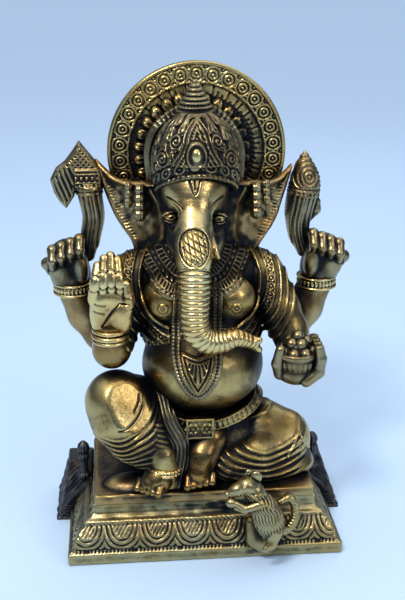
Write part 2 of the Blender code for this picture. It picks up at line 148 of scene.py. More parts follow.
def ball(centre, radii, turn=0.0):
    """An ellipsoid, turned about the Y axis by some degrees."""
    c, r = arr(*centre), arr(*radii)
    s, t = math.sin(math.radians(turn)), math.cos(math.radians(turn))

    def field(P):
        q = P - c
        q = np.stack((q[:, 0] * t + q[:, 2] * s, q[:, 1], q[:, 2] * t - q[:, 0] * s), 1) / r
        near = length(q)
        return near * (near - 1) / maximum(length(q / r), 1e-6)

    return field


def chain(stations, k=0.0, flat=None):
    """Round cones through (x, y, z, radius) stations, blended by k. flat squeezes them in Y."""
    S = np.array(stations, float)

    def field(P):
        best = None
        for a, b in zip(S[:-1], S[1:]):
            ab = b[:3] - a[:3]
            ap = P - a[:3]
            t = clip(ap @ ab / (ab @ ab), 0, 1)
            away = ap - t[:, None] * ab
            if flat:
                away = away * arr(1, 1 / flat, 1)
            d = length(away) - (a[3] + (b[3] - a[3]) * t)
            if flat:
                d = d * flat
            best = d if best is None else soft_min(best, d, k) if k else minimum(best, d)
        return best

    return field


def join(*fields, k):
    """The fields as one, with fillets of about k."""

    def field(P):
        best = fields[0](P)
        for other in fields[1:]:
            best = soft_min(best, other(P), k)
        return best

    return field


def outline(points, smooth=True):
    """Distance from a closed outline in a plane, below 0 inside it."""
    pts = np.array(points, float)
    if smooth:
        pts = curve_through(pts, 2.0, closed=True)

    def distance(x, y):
        best = np.full(len(x), 1e18)
        inside = np.zeros(len(x), bool)
        for (ax, ay), (bx, by) in zip(pts, np.roll(pts, -1, 0)):
            ex, ey = bx - ax, by - ay
            wx, wy = x - ax, y - ay
            t = clip((wx * ex + wy * ey) / (ex * ex + ey * ey + 1e-12), 0, 1)
            best = minimum(best, (wx - ex * t) ** 2 + (wy - ey * t) ** 2)
            crosses = (ay > y) != (by > y)
            if ey != 0:
                inside ^= crosses & (x < ax + ex * (y - ay) / ey)
        return where(inside, -1, 1) * sqrt(best)

    return distance


def curve_through(points, spacing, closed=False):
    """Catmull-Rom points at an even spacing through the given ones, with any number of columns."""
    p = np.array(points, float)
    if closed:
        p = np.vstack((p[-1], p, p[0], p[1]))
    else:
        p = np.vstack((2 * p[0] - p[1], p, 2 * p[-1] - p[-2]))
    fine = []
    for a, b, c, d in zip(p[:-3], p[1:-2], p[2:-1], p[3:]):
        t = np.linspace(0, 1, 24, endpoint=False)[:, None]
        curved = 2 * b + (c - a) * t + (2 * a - 5 * b + 4 * c - d) * t**2
        fine.append(0.5 * (curved + (3 * b - a - 3 * c + d) * t**3))
    fine = np.vstack(fine + [p[-2][None]])
    places = fine[:, : min(3, fine.shape[1])]
    along = np.concatenate(((0,), np.cumsum(length(np.diff(places, axis=0)))))
    count = max(int(along[-1] / spacing), 2)
    stations = np.linspace(0, along[-1], count + 1)
    if closed:
        stations = stations[:-1]
    return np.stack([np.interp(stations, along, fine[:, k]) for k in range(fine.shape[1])], 1)


class Path:
    """A smooth line through (x, y, z, size) points, whose outward side is nearest to up."""

    def __init__(self, points, up, spacing=1.0):
        table = curve_through(points, spacing)
        self.c, self.size = table[:, :3], table[:, 3]
        self.t = np.gradient(self.c, axis=0)
        self.t /= length(self.t)[:, None]
        out = np.tile(arr(*up), (len(self.c), 1))
        self.n = out - (out * self.t).sum(1)[:, None] * self.t
        self.n /= length(self.n)[:, None]
        self.b = np.cross(self.t, self.n)
        gaps = length(np.diff(self.c, axis=0))
        self.s = np.concatenate(((0,), np.cumsum(gaps)))
        self.long = self.s[-1]

    def near(self, P):
        """Along, across, outwards, past the end, and size, for each point."""
        i = np.empty(len(P), int)
        for k in range(0, len(P), SEARCH_CHUNK):
            part = P[k : k + SEARCH_CHUNK]
            i[k : k + SEARCH_CHUNK] = ((self.c**2).sum(1)[None] - 2 * part @ self.c.T).argmin(1)
        ahead = ((P - self.c[i]) * self.t[i]).sum(1)
        s = clip(self.s[i] + ahead, 0, self.long)

        def read(table):
            return np.stack([np.interp(s, self.s, table[:, k]) for k in range(3)], 1)

        away = P - read(self.c)
        past = (away * read(self.t)).sum(1)
        across, outwards = (away * read(self.b)).sum(1), (away * read(self.n)).sum(1)
        return s, across, outwards, past, np.interp(s, self.s, self.size)


def tube(points, up=(0, -1, 0), relief=None, flat=1.0, spacing=1.0):
    """A round or flattened tube. relief(along, across, outwards, size) is added to its radius."""
    path = Path(points, up, spacing)

    def field(P):
        s, u, v, w, r = path.near(P)
        d = sqrt(u * u + (v / flat) ** 2 + w * w) - r
        if relief:
            d = d - relief(s, u, v, r)
        return d * min(flat, 1)

    return field


def hugging(base, points, relief, back=-5):
    """A band on the front of base along (x, z, half width) points, seen from the front."""
    path = Path([(x, 0, z, half) for x, z, half in points], (0, -1, 0), 0.8)

    def field(P):
        s, u, _, w, half = path.near(P * arr(1, 0, 1))
        d = base(P) - relief(s, u / half)
        return highest(soft_max(d, abs(u) - half, 0.8), abs(w) - 0.6, P[:, 1] - back)

    return field


def lathe(centre, profile, relief=None):
    """Turned about an upright line: profile is (height, radius). relief(angle, height) is added."""
    c = arr(*centre)
    table = np.array(profile, float)

    def field(P):
        x, y, h = (P - c).T
        d = hypot(x, y) - np.interp(h, table[:, 0], table[:, 1])
        if relief:
            d = d - relief(arctan2(x, -y), h)
        return soft_max(d * 0.8, maximum(table[0, 0] - h, h - table[-1, 0]), 0.8)

    return field


def leaf(u, v):
    """A pointed leaf of height 1 and half width 1: 0 on its outline and 1 at its middle."""
    edge = abs(u) / maximum(np.cos(clip(v, 0, 1) * math.pi / 2) ** 0.75, 0.02)
    return clip(1 - maximum(edge, abs(2 * v - 0.9) ** 3), 0, 1)


# ---- meshes

# The grid is refined in blocks of BLOCK cells a side, wherever the surface may pass through a block
# or within SLACK mm of it.
BLOCK, SLACK, BLOCKS_AT_ONCE = 4, 2.5, 4000


def sampled(field, low, high, step):
    """The field on a grid, worked out finely only near the surface."""
    blocks = maximum(np.ceil((high - low) / step / BLOCK).astype(int), 1)
    index = np.indices(blocks).reshape(3, -1).T
    coarse = evaluated(field, low + (index * BLOCK + (BLOCK - 1) / 2) * step)
    values = coarse.reshape(blocks).astype(np.float32)
    for axis in range(3):
        values = np.repeat(values, BLOCK, axis)
    near = index[abs(coarse) < step * BLOCK * 1.1 + SLACK]
    inner = np.indices((BLOCK,) * 3).reshape(3, -1).T
    for k in range(0, len(near), BLOCKS_AT_ONCE):
        cells = (near[k : k + BLOCKS_AT_ONCE, None, :] * BLOCK + inner).reshape(-1, 3)
        values[tuple(cells.T)] = field(low + cells * step)
    return values


def evaluated(field, points):
    starts = range(0, len(points), FIELD_CHUNK)
    return np.concatenate([field(points[k : k + FIELD_CHUNK]) for k in starts])


CORNERS = np.indices((2, 2, 2)).reshape(3, -1).T


def netted(values, low, step):
    """Surface-nets mesh of the zero level: points and quads."""
    for axis in range(3):
        for end in (0, -1):
            edge = [slice(None)] * 3
            edge[axis] = end
            values[tuple(edge)] = maximum(values[tuple(edge)], 0.5)
    inside = values < 0
    shape = np.array(values.shape) - 1
    count = sum(
        inside[c[0] : c[0] + shape[0], c[1] : c[1] + shape[1], c[2] : c[2] + shape[2]].astype(np.int8)
        for c in CORNERS
    )
    active = (count > 0) & (count < 8)
    cells = np.argwhere(active)
    ids = np.full(active.shape, -1, np.int64)
    ids[active] = np.arange(len(cells))
    corner = [values[tuple((cells + c).T)] for c in CORNERS]
    total, crossings = np.zeros((len(cells), 3)), np.zeros(len(cells))
    for a in range(8):
        for b in range(a + 1, 8):
            if abs(CORNERS[a] - CORNERS[b]).sum() != 1:
                continue
            va, vb = corner[a], corner[b]
            crosses = (va < 0) != (vb < 0)
            t = where(crosses, va / where(crosses, va - vb, 1), 0)
            total += where(crosses[:, None], CORNERS[a] + t[:, None] * (CORNERS[b] - CORNERS[a]), 0)
            crossings += crosses
    points = low + (cells + total / crossings[:, None]) * step
    quads = []
    for axis in range(3):
        first, second = (axis + 1) % 3, (axis + 2) % 3
        ahead = np.roll(inside, -1, axis)
        changes = np.argwhere(inside != ahead)
        ok = (changes[:, axis] < shape[axis]) & (changes[:, first] > 0) & (changes[:, second] > 0)
        ok &= (changes[:, first] < shape[first]) & (changes[:, second] < shape[second])
        changes = changes[ok]
        ring = []
        for back_first, back_second in ((1, 1), (0, 1), (0, 0), (1, 0)):
            cell = changes.copy()
            cell[:, first] -= back_first
            cell[:, second] -= back_second
            ring.append(ids[tuple(cell.T)])
        ring = np.stack(ring, 1)
        outward = inside[tuple(changes.T)]
        quads.append(where(outward[:, None], ring, ring[:, ::-1]))
    return points, np.vstack(quads)


def settled(field, points, step):
    """The points moved onto the surface along the field's slope."""
    tetra = arr((1, -1, -1), (-1, -1, 1), (-1, 1, -1), (1, 1, 1)) * step * 0.3
    for _ in range(2):
        slope, middle = 0, 0
        for way in tetra:
            d = evaluated(field, points + way)
            slope = slope + d[:, None] * way
            middle = middle + d / 4
        size = 4 * (step * 0.3) ** 2
        slope = slope / size
        steep = maximum((slope**2).sum(1), 0.1)
        move = -slope * (middle / steep)[:, None]
        far = maximum(length(move) / (0.6 * step), 1)
        points = points + move / far[:, None]
    return points


def cast(name, field, step=0.8, finish="antique", margin=5, stain=None):
    """Meshes the field round the CAD node that it stands for. The last argument adds painted shade
    and painted highlights to some pieces, and a uniform darker tone to others.
    """
    box_low, box_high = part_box(name)
    low = np.array(box_low) / MM - SHIFT - margin
    high = np.array(box_high) / MM - SHIFT + margin
    points, quads = netted(sampled(field, low, high, step), low, step)
    points = settled(field, points, step)
    keys = "name field step finish stain low high points quads".split()
    PIECES.append(dict(zip(keys, (name, field, step, finish, stain, low, high, points, quads))))


# ---- plinth

PLINTH_Z = (0, 1.5, 8, 8.8, 10.5, 18, 25, 27.5, 28.5, 31, 34, 37.7)
PLINTH_HALF = (91, 92, 92, 89.6, 88.6, 85.8, 80.5, 79.8, 77, 75, 74.4, 75)
PLINTH_FRONT = (-74, -75, -75, -73, -72.4, -70.8, -66.3, -65.6, -63, -61, -60.4, -61)
CORE_Z, CORE_HALF, CORE_FRONT = (-1, 9, 26, 38.7), (86.5, 83.5, 73.5, 69.5), (-69.5, -67.5, -59.5, -55.5)
PETAL_PITCH = 23.5


def plinth_relief(u, z):
    """Carving on the plinth's sloping skirt, for a place u along it at height z."""
    across = wrap(u + 9, PETAL_PITCH)
    down = (25.2 - z) * 0.8
    rings = wave(hypot(across, down), 2.9)
    strokes = wave(across + 0.8 * down, 2.6)
    inner = hypot(across * 1.1, down) < 6
    petals = where(inner, strokes * 0.7, rings) * step_up(10.4, 11.6, z) * step_up(25.6, 24.4, z)
    teeth = wave(u, 2.5) * step_up(8.1, 8.5, z) * step_up(10.5, 10, z) * (wrap(u, 31) < 12)
    rope = wave(u + z, 3.1) * step_up(24.8, 25.6, z) * step_up(28.2, 27.4, z)
    return 0.85 * petals + 0.7 * teeth + 0.55 * rope


def plinth_field(P):
    x, y, z = P.T
    side = abs(x) - np.interp(z, PLINTH_Z, PLINTH_HALF)
    front = np.interp(z, PLINTH_Z, PLINTH_FRONT) - y
    on_front = front > side
    carving = plinth_relief(where(on_front, x, y), z)
    rough = (0.1 + 0.15 * step_up(8, 12, z)) * grain(P, 9, 3)
    walls = soft_max(side, front, 1.2) * 0.9 - carving * (y < 30) - rough
    shell = highest(walls, y - 33, z - 37.7, -z)
    core = maximum(abs(x) - np.interp(z, CORE_Z, CORE_HALF), np.interp(z, CORE_Z, CORE_FRONT) - y)
    core = maximum(core, y - 28.5)
    return maximum(shell, -core)


def plinth_painted_shade(P):
    """Painted shade on the waist under the slab, dark beside the mouse and lighter away from it, with
    streaks; the foot below 8 mm is darker.
    """
    x, y, z = P.T
    waist = step_up(27.5, 29, z) * step_up(39, 37, z) * step_up(-40, -48, y)
    streaks = 0.2 * grain(P * arr(0.3, 1, 3), 9, 5)
    return (0.75 * bell(x - 16, 22) - 0.42 + streaks) * waist + 0.3 * step_up(9, 7, z)


def slab_field(P):
    x, y, z = P.T
    edge = 0.35 * grain(P, 14, 5)
    walls = soft_max(abs(x) - 73.6 - edge, -63.6 - edge - y, 2.5)
    lip = 0.7 * step_up(43.6, 44.6, z)
    d = soft_max(maximum(walls - lip, y - 32), z - 45.8 - 0.3 * grain(P, 22, 8), 1.4)
    d = maximum(d, 38.2 - z)
    d = soft_min(d, ball((-46, -49, 46), (20, 11, 6.5))(P), 3)
    pocket = highest(abs(x) - 66, -55 - y, y - 24, z - 41.5)
    return maximum(d, -pocket)


def wing_field(side):
    """The dark flank, whose rough top falls away to its front outer corner."""
    ridge = np.cross(arr(27, 0, -23), arr(23, 50, 0))
    ridge = ridge / length(ridge)

    def field(P):
        x, y, z = P[:, 0] * side, P[:, 1], P[:, 2]
        slope = (np.stack((x - 75.5, y + 17, z - 31), 1) @ ridge) - 0.9 * grain(P, 11, 7)
        slope = slope - 0.5 * wave(x * 0.7 + y + z * 0.4, 5)
        low_leaf = step_up(13, 11, z) * step_up(1.5, 3, z)
        carved = 0.9 * wave(hypot(wrap(x, 8), (z - 3) * 1.3), 2.6) * low_leaf
        lip = 1.2 * step_up(2.6, 1.4, z)
        outer = x - 101.3 + 0.27 * z - lip - 0.5 * grain(P, 8, 9) - 0.4 * wave(y + z, 4) * low_leaf
        front = -16 - y - carved - lip
        inner = 86.3 - x - 10.5 * clip(z / 31, 0, 1)
        d = soft_max(soft_max(outer, front, 1.2), slope, 1.6)
        d = highest(d, z - 31, y - 33, -z)
        return maximum(d, inner) * 0.9

    return field


def add_plinth():
    cast("plinth", plinth_field, 0.8, "dull", stain=plinth_painted_shade)
    # Painted shade on the seat slab, darker towards the back where the figure sits over it.
    cast("seat_slab", slab_field, 1.0, "umber", margin=8, stain=lambda P: 0.45 * step_up(-48, -34, P[:, 1]))
    for side, name in SIDES:
        cast(f"plinth_wing_{name}", wing_field(side), 0.8, "rough")
        post = [
            (31.3, 4.4), (33, 4.6), (35, 3), (39, 2.5), (44, 2.7), (46.5, 4), (48, 4.4), (50, 3), (53, 4.3),
            (56, 3.6), (59, 1.2),
        ]
        knob = lathe((side * 81.5, -10, 0), post, lambda a, h: 0.35 * np.cos(10 * a))
        cast(f"throne_post_{name}", knob, 0.6, "rough")


# ---- body

torso_base = join(
    ball((2, -20, 121), (41, 40, 33)),
    ball((-1, -10, 172), (39, 26, 28)),
    ball((-24, -32, 171), (14.5, 13, 15)),
    ball((21, -32, 170), (15, 13.5, 15)),
    chain([(-45, -7, 181, 12), (-18, -6, 190, 13)]),
    chain([(44, -7, 179, 12), (16, -6, 190, 13)]),
    chain([(-2, -8, 188, 18), (-2, -10, 204, 15)]),
    ball((1, -15, 146), (39, 32, 20)),
    k=8,
)
NAVEL = chain([(-8, -59.5, 104, 0.8), (-3.5, -60.5, 108.6, 2), (1, -59.5, 104, 0.8)])


def torso_field(P):
    x, y, z = P.T
    d = soft_max(torso_base(P), -NAVEL(P), 1.2)
    for nx, nz in ((-25.5, 169), (22, 168)):
        away = hypot(x - nx, z - nz)
        d = d - (0.8 * wave(away, 2.6) * (away < 3.4)) * (y < -30)
    return d + 0.06 * grain(P, 9, 11)


hips_base = join(ball((0, -15, 66), (55, 37, 27)), ball((0, -14, 84), (42, 30, 18)), k=5)


def hips_field(P):
    z = P[:, 2]
    pleats = 0.6 * wave(arctan2(P[:, 0], P[:, 1] - 12) * 30, 4.2) * step_up(90, 80, z)
    return maximum(hips_base(P) - pleats * (P[:, 1] > -5), 46.3 - z)


waist_base = join(ball((0, -15, 84), (48, 36, 22)), ball((2, -20, 92), (41, 31, 14)), k=5)
right_thigh = chain([(-30, -12, 84, 20), (-46, -28, 93, 21), (-56, -37, 101, 20)], k=4)
right_calf = chain(
    [(-57, -39, 102.5, 20.5), (-52, -41, 92, 22), (-44, -44, 79, 18.5), (-37, -46, 69, 13)], k=5,
)
right_shin = chain(
    [(-36, -45, 84, 14), (-28, -52, 68, 10.5), (-25, -54, 60, 9.4), (-24.5, -55, 50, 8.6)], k=4,
)


def knee_facet(P):
    """Above 0 outside the flat on the knee."""
    return (P - arr(-48.6, -56, 105)) @ arr(0.28, -0.83, 0.48)


def right_leg_field(P):
    x, y, z = P.T
    cloth = soft_min(right_thigh(P), right_calf(P), 5)
    from_knee = hypot((x + 58) * 0.85, z - 112) + 0.14 * (x + 55)
    folded = step_up(24, 28, from_knee) * step_up(2, 8, -(y + 14)) * (0.3 + 0.7 * step_up(-68, -52, x))
    cloth = cloth - 1.4 * wave(from_knee + 0.8 * sin(x / 4), 4.3) * folded + 0.4 * folded
    cloth = soft_max(cloth, knee_facet(P), 1.2)
    smile = abs(from_knee - 20 + 0.012 * (x + 50) ** 2)
    cloth = cloth + 0.7 * bell(smile, 0.8) * step_up(10, 7, abs(x + 48)) * (z < 112)
    crease = abs(from_knee - 15.5)
    cloth = cloth + 0.6 * bell(crease, 0.8) * step_up(5, 3, abs(x + 42)) * (z < 112)
    shin = right_shin(P) - 0.5 * wave(z + 0.4 * x, 3.2) * step_up(76, 80, z)
    return soft_min(cloth, shin, 1.6)


def knee_highlight_and_shade(P):
    """Painted highlight on the flat on the knee and on the shin, and painted shade over the rest of the
    cloth.
    """
    flat = step_up(-1.2, -0.1, knee_facet(P))
    shin = step_up(-38, -30, P[:, 0]) * step_up(78, 72, P[:, 2])
    return 0.22 - 0.5 * maximum(flat, shin)


left_thigh = chain([(22, -12, 76, 18), (42, -22, 70.5, 19.4), (57.5, -26, 65.5, 19)], k=4)
left_calf = chain([(57, -32, 63, 16), (36, -42, 60, 15), (16, -49, 59, 11)], k=4)


def left_leg_field(P):
    x, y, z = P.T
    d = soft_min(left_thigh(P), left_calf(P), 6)
    d = soft_min(d, ball((62, -32, 50), (16.5, 18, 8.5))(P), 6)
    d = soft_min(d, ball((36, -42, 50.5), (30, 15.5, 7.5))(P), 5)
    around = hypot((x - 45) * 0.74, (z - 85) * 1.08)
    folds = step_up(15.5, 20, around) * step_up(86, 78, z) * step_up(-14, -24, y)
    folds = folds * step_up(74, 60, x)
    d = d - 1.35 * wave(around, 4.6) * folds + 0.5 * folds
    flap = abs(abs(x - 66) * 0.9 + (z - 76) * 0.55)
    d = d - 1.1 * bell(flap, 1.3) * (abs(x - 66) < 9) * (z < 77) * (y < -25)
    upper = abs(z - 89 - (x - 45) * 0.35)
    return d - 0.8 * bell(upper, 1.2) * (x > 18) * (x < 55) * (y < -12)


def toes(root, reach, side, size):
    """A row of rounded toes from root, each one reach along, set side by side."""
    root, reach, side = arr(*root), arr(*reach), arr(*side)
    fields = []
    for k in range(5):
        start = root + side * k
        tip = start + reach * (1 - 0.06 * k)
        fields.append(chain([(*start, size), (*tip, size * (0.92 if k else 1.08))]))
    return join(*fields, k=0.5)


def add_legs():
    cast("right_leg", right_leg_field, 0.65, margin=arr(5, 5, 12), stain=knee_highlight_and_shade)
    cast("left_leg", left_leg_field, 0.75)
    cast("hips", hips_field, 1.2)
    sole = chain([(-25, -52, 58, 10.5), (-31, -58, 53.5, 9.5), (-36, -61, 50.5, 7)], k=4)
    down = toes((-28, -64, 53.5), (-3.4, -5.6, -4.6), (-3.6, 1.5, -0.1), size=2.7)
    cast("right_foot", join(sole, down, k=1.2), 0.6, "brown", margin=8)
    instep = chain([(5, -44, 75, 12.5), (-1, -50, 65, 12), (-3.5, -56, 56, 9.5)], k=4)
    down = toes((-11, -60.5, 55), (-0.8, -4.2, -4.5), (4.1, 0, 0.3), size=2.8)
    cast("left_foot", join(instep, down, k=1.2), 0.6, "brown", margin=8)


# ---- arms

right_upper = chain([(-42, -9, 181, 13), (-52, -22, 158, 12.5), (-59, -36, 139, 12)], k=3)
right_fore = chain([(-59, -36, 139, 11.5), (-59.5, -45, 158, 9.6)], k=3)
left_upper = chain([(42, -9, 179, 13), (55, -18, 158, 12.7), (61, -24, 142, 12)], k=3)
left_fore = chain([(61, -24, 142, 11.5), (62, -36, 129, 9.5)], k=3)


def rear_arm(side):
    line = [
        (38, 2, 178, 14), (52, 4, 156, 13.5), (65, 6, 134, 12.6), (76, 8, 148, 12.4), (84, 8, 168, 11.6),
    ]
    return chain(mirrored(side, line), k=4)


def bangle(centre, radius, rows, period):
    """Stacked rings round an upright wrist, each row (height, half height, stand-off, ridges)."""

    def relief(angle, h):
        total = -0.8 + 0 * h
        for height, half, proud, ridged in rows:
            bump = arc((h - height) / half)
            cuts = 0.5 + 0.5 * wave(angle * radius, period) if ridged else 1
            total = maximum(total, proud * bump * cuts)
        return total

    low = min(r[0] - r[1] for r in rows)
    high = max(r[0] + r[1] for r in rows)
    return lathe(centre, [(low, radius), (high, radius)], relief)


def add_arms():
    cast("right_front_arm", join(right_upper, right_fore, k=5), 0.9, "brown")
    cast("left_front_arm", join(left_upper, left_fore, k=5), 0.9)
    rows = [(-3.4, 1.3, 1.8, False), (0, 2.3, 1.6, True), (3.4, 1.3, 1.8, False)]
    for side, name in SIDES:
        cast(f"{name}_rear_arm", rear_arm(side), 0.9, "umber")
        cast(f"{name}_rear_bangle", bangle((side * 84, 8, 168), 12.2, rows, 2.6), 0.55, "bright")
    cuff = [(-4.2, 1.3, 1.4, False), (-0.8, 1.7, 2.0, False), (3, 1.5, 1.5, False)]
    cast("blessing_bangle", bangle((-59.4, -45, 153.5), 10.4, cuff, 2.4), 0.55, "bright")
    ring = [(-1.6, 1.2, 1.3, True), (1.3, 1.3, 1.6, True)]
    cast("right_anklet", bangle((-26, -54.5, 60), 11, ring, 2.4), 0.55, "bright")


# ---- hands


def knuckled(points, bend=0.25):
    """A finger through (x, y, z, radius) points with a crease at each joint."""
    path = Path(points, (0, -1, 0), 0.8)

    def field(P):
        s, u, v, w, r = path.near(P)
        third = path.long / 3
        crease = sum(bell(s - third * k, 0.7) for k in (1, 2))
        return sqrt(u * u + v * v + w * w) - r + bend * 1.6 * crease

    return field


def blessing_hand_field():
    fingers = []
    for root, tip, top in ((-69, -66, 201.5), (-63.5, -62, 206), (-57.8, -57.8, 208), (-52.2, -53.4, 205)):
        middle = (root + tip) / 2
        line = [(root, -48, 178, 3.9), (middle, -49.3, 190, 3.8), (tip, -44.5, top - 2.5, 2.9)]
        fingers.append(knuckled(line, 0.3))
    thumb = knuckled([(-50, -48, 166, 4.6), (-47.2, -50.5, 177, 3.9), (-48.5, -50, 188, 2.9)])
    palm = join(
        chain([(-59.5, -45, 154, 9.2), (-59, -45.5, 163, 11), (-58.8, -45.5, 176, 12.3)], k=3, flat=0.6),
        ball((-65, -48, 169), (6, 5.5, 12)),
        ball((-52.5, -48.8, 167.5), (7.2, 6, 12), 12),
        ball((-59.5, -47.6, 179.5), (12, 5.4, 6)),
        k=4,
    )
    hand = join(palm, *fingers, thumb, k=0.8)

    def crease_line(*points):
        return chain([(x, 0, z, 0) for x, z in points])

    creases = [
        (0.9, crease_line((-64.5, 161), (-61.5, 166), (-57.5, 172), (-53, 176.5), (-47, 175.5))),
        (0.35, crease_line((-69, 172), (-63, 170.5))),
        (0.35, crease_line((-68.5, 176.5), (-62, 175.5))),
    ]

    def field(P):
        flat = P * arr(1, 0, 1)
        cut = sum(deep * bell(crease(flat), 0.65) for deep, crease in creases)
        return hand(P) + cut * (P[:, 1] < -45)

    return field


def rear_hand_field(side):
    """A fist with its back outwards and the fingers curled forward over the grip."""
    back = [(84, 8, 166, 11.2), (85.5, 6, 178, 12.6), (86.5, 4, 190, 13)]
    palm = join(
        chain(mirrored(side, back), k=4, flat=0.8),
        ball((side * 78.5, -2, 186), (5.6, 6.5, 12), -8 * side),
        ball((side * 92, -1.5, 183), (7.5, 6, 10)),
        k=2.5,
    )
    fingers = []
    for k in range(4):
        x, top = side * (78.2 + 6 * k), 206.5 - 2.4 * k
        bends = ((6, -5, 4), (-4.5, -1.5, 3.6), (-8.5, -8, 3.2), (-5, -13, 2.8))
        fingers.append(chain([(x, y, top + dz, radius) for y, dz, radius in bends], k=1))
    thumb = chain(mirrored(side, [(97, 4, 182, 5), (100.2, -1, 187.5, 4), (92, -7.5, 193.5, 3.3)]), k=1.5)
    return join(palm, thumb, *fingers, k=0.7)


def bowl_hand_field():
    palm = join(ball((61, -50, 123), (14, 14, 10)), chain([(62, -38, 129, 9.6), (61, -46, 124, 9)]), k=3)
    fingers = []
    for k in range(4):
        y = -61 + 6.2 * k
        line = [(66, y, 119, 4.2), (73.5, y - 0.5, 125, 4), (75, y, 134, 3.8), (73.5, y, 142, 3.2)]
        fingers.append(chain(line, k=1))
    thumb = chain([(50, -54, 122, 4.6), (47.4, -57, 130, 4), (49, -58, 140, 3.3)], k=1)
    return join(palm, thumb, *fingers, k=0.7)


BOWL_X, BOWL_Y, BOWL_LIFT = 61, -52, 3.5


def lifted(field):
    """The hand, bowl and sweets sit BOWL_LIFT higher than their CAD pieces."""
    return lambda P: field(P - arr(0, 0, BOWL_LIFT))


def sweets_field():
    """A heap of round sweets in the bowl."""
    balls = [ball((BOWL_X, BOWL_Y, 140), (9, 9, 6))]
    for ring, count, radius, height in ((1, 8, 9.6, 137.5), (2, 5, 5.4, 143), (3, 1, 0, 147)):
        for k in range(count):
            a = TURN * (k + 0.5 * ring) / count
            x, y = BOWL_X + radius * math.cos(a), BOWL_Y + radius * math.sin(a)
            balls.append(ball((x, y, height), (4, 4, 3.8)))
    return join(*balls, k=0.5)


def add_hands():
    cast("blessing_hand", blessing_hand_field(), 0.55, "bright")
    for side, name in SIDES:
        cast(f"{name}_rear_hand", rear_hand_field(side), 0.6, "dark")
    cast("bowl_hand", lifted(bowl_hand_field()), 0.6, "dark", margin=8, stain=lambda P: 0.2)
    cup = [(0, 5), (1.5, 6.5), (3, 9), (6, 12), (9, 13.2), (13, 13.4), (15, 14.4), (17.5, 14)]
    ribs = lathe((BOWL_X, BOWL_Y, 120), cup, lambda a, h: 0.5 * wave(a * 12, 3.4) * step_up(13, 11, h))
    cast("sweets_bowl", lifted(ribs), 0.6, "dark", margin=7)
    cast("sweets", lifted(sweets_field()), 0.6, "dark", margin=7)


# ---- head

FACE_X = -3.5
skull = join(
    ball((-2, -14, 231), (21.5, 21, 21)),
    ball((-3.2, -19, 243), (21.5, 20.5, 15)),
    ball((-13.5, -27, 210), (8, 13, 16), 8),
    ball((7.5, -27, 209), (8, 13, 16), -8),
    chain([(-2, -10, 208, 16), (-2, -8, 192, 18)]),
    k=5,
)
bridge = chain(
    [
        (-3.4, -23.5, 240, 17), (-4.2, -30, 231, 14.4), (-5.3, -40, 221, 11.8), (-6, -49, 212, 10.8),
        (-6.3, -55.5, 204, 10.2), (-6.5, -59.5, 197, 9),
    ],
    k=4,
)


def medallion(x, y, z):
    """The cross-hatched oval at the root of the trunk."""
    x, z = x + 6.2, z - 213.6
    oval = hypot(x / 8.8, z / 9.8)
    a, b = x * 0.98 + z * 0.15, z * 0.86 + x * 0.5
    squares = maximum(bell(wrap(a, 3.3), 0.42), bell(wrap(b, 3.6), 0.42))
    rim = bell(oval - 1.03, 0.07)
    inside = step_up(1.02, 0.96, oval)
    return (inside * (0.7 - squares) - 0.9 * rim) * (y < -36)


def head_field(P):
    x, y, z = P.T
    d = soft_min(skull(P), bridge(P), 7) - medallion(x, y, z)
    for side, centre in ((-1, arr(-18.6, -35.5, 226.5)), (1, arr(11.2, -35.5, 224.8))):
        socket = ball(centre + arr(side * -0.5, -2, -0.5), (6.8, 5, 5.4), 14 * side)(P)
        d = soft_max(d, -socket, 4)
        eye = ball(centre + arr(0, 4.4, -0.2), (5.6, 4.8, 4), 10 * side)(P)
        d = soft_min(d, eye, 1)
        q = P - centre
        almond = hypot(q[:, 0] / 4.4, (q[:, 2] + 0.1 * side * q[:, 0]) / 2.4)
        facing = abs(q[:, 1]) < 7
        d = d + (0.9 * bell(almond - 1, 0.2) + 0.5 * (almond < 0.35)) * facing
        d = d - 0.4 * bell(almond - 1.42, 0.2) * facing
        brow_u = side * (x - FACE_X)
        arch = z - (232 + 6.6 * sin(clip((brow_u - 6.5) / 11.5, 0, 1) * 1.7))
        brow = bell(arch, 0.6) * step_up(8.2, 9, brow_u) * step_up(18.5, 17.5, brow_u)
        d = d + 0.8 * brow * (y < -20)
    tilak = abs(abs(x + 4.5) - 3.2 * sqrt(clip((z - 242.5) / 8, 0, 1)))
    mark = bell(tilak, 0.55) + bell(x + 4.5, 0.55) * step_up(244.5, 245.5, z)
    return d + 0.65 * mark * (z > 242) * (z < 251) * (y < -30)


def face_painted_shade(P):
    """Painted shade round the eyes, down the cheeks and at the sides of the head."""
    x, _, z = P.T
    side = abs(x + 3.6)
    eyes = np.exp(-(((side - 16.5) / 6) ** 2) - ((z - 222) / 10) ** 2)
    sides = step_up(17, 25, side) * 0.35
    cheeks = step_up(9.5, 13, side) * step_up(222, 212, z)
    return 0.9 * eyes + sides + 0.6 * cheeks


trunk_path = [
    (-6.4, -57, 201.5, 9.3),
    (-6.6, -60.3, 195.5, 10.2),
    (-6.8, -63, 188, 10),
    (-7, -65.5, 178, 9.6),
    (-7, -67.5, 168, 9.2),
    (-4.8, -68, 160, 8.8),
    (1.5, -67.5, 154.8, 8.2),
    (10, -66, 153.8, 7.2),
    (19, -64, 155.2, 5.9),
    (26, -61.5, 152.6, 4.9),
    (31.5, -59.5, 149.5, 4),
]


def trunk_relief(s, u, v, r):
    front = step_up(-0.35, 0.35, v / r)
    rings = wave(s, 3.3) ** 0.35
    return (rings - 1) * 0.85 * front * step_up(1, 3, s)


def trunk_field():
    body = tube(trunk_path, relief=trunk_relief)
    upper_lip = chain([(31, -60, 151, 3.2), (34.6, -61, 152, 2.2)])
    lower_lip = chain([(31.5, -59, 148, 3.2), (35, -58.5, 144.5, 2.2)])
    return join(body, join(upper_lip, lower_lip, k=1), k=1.5)


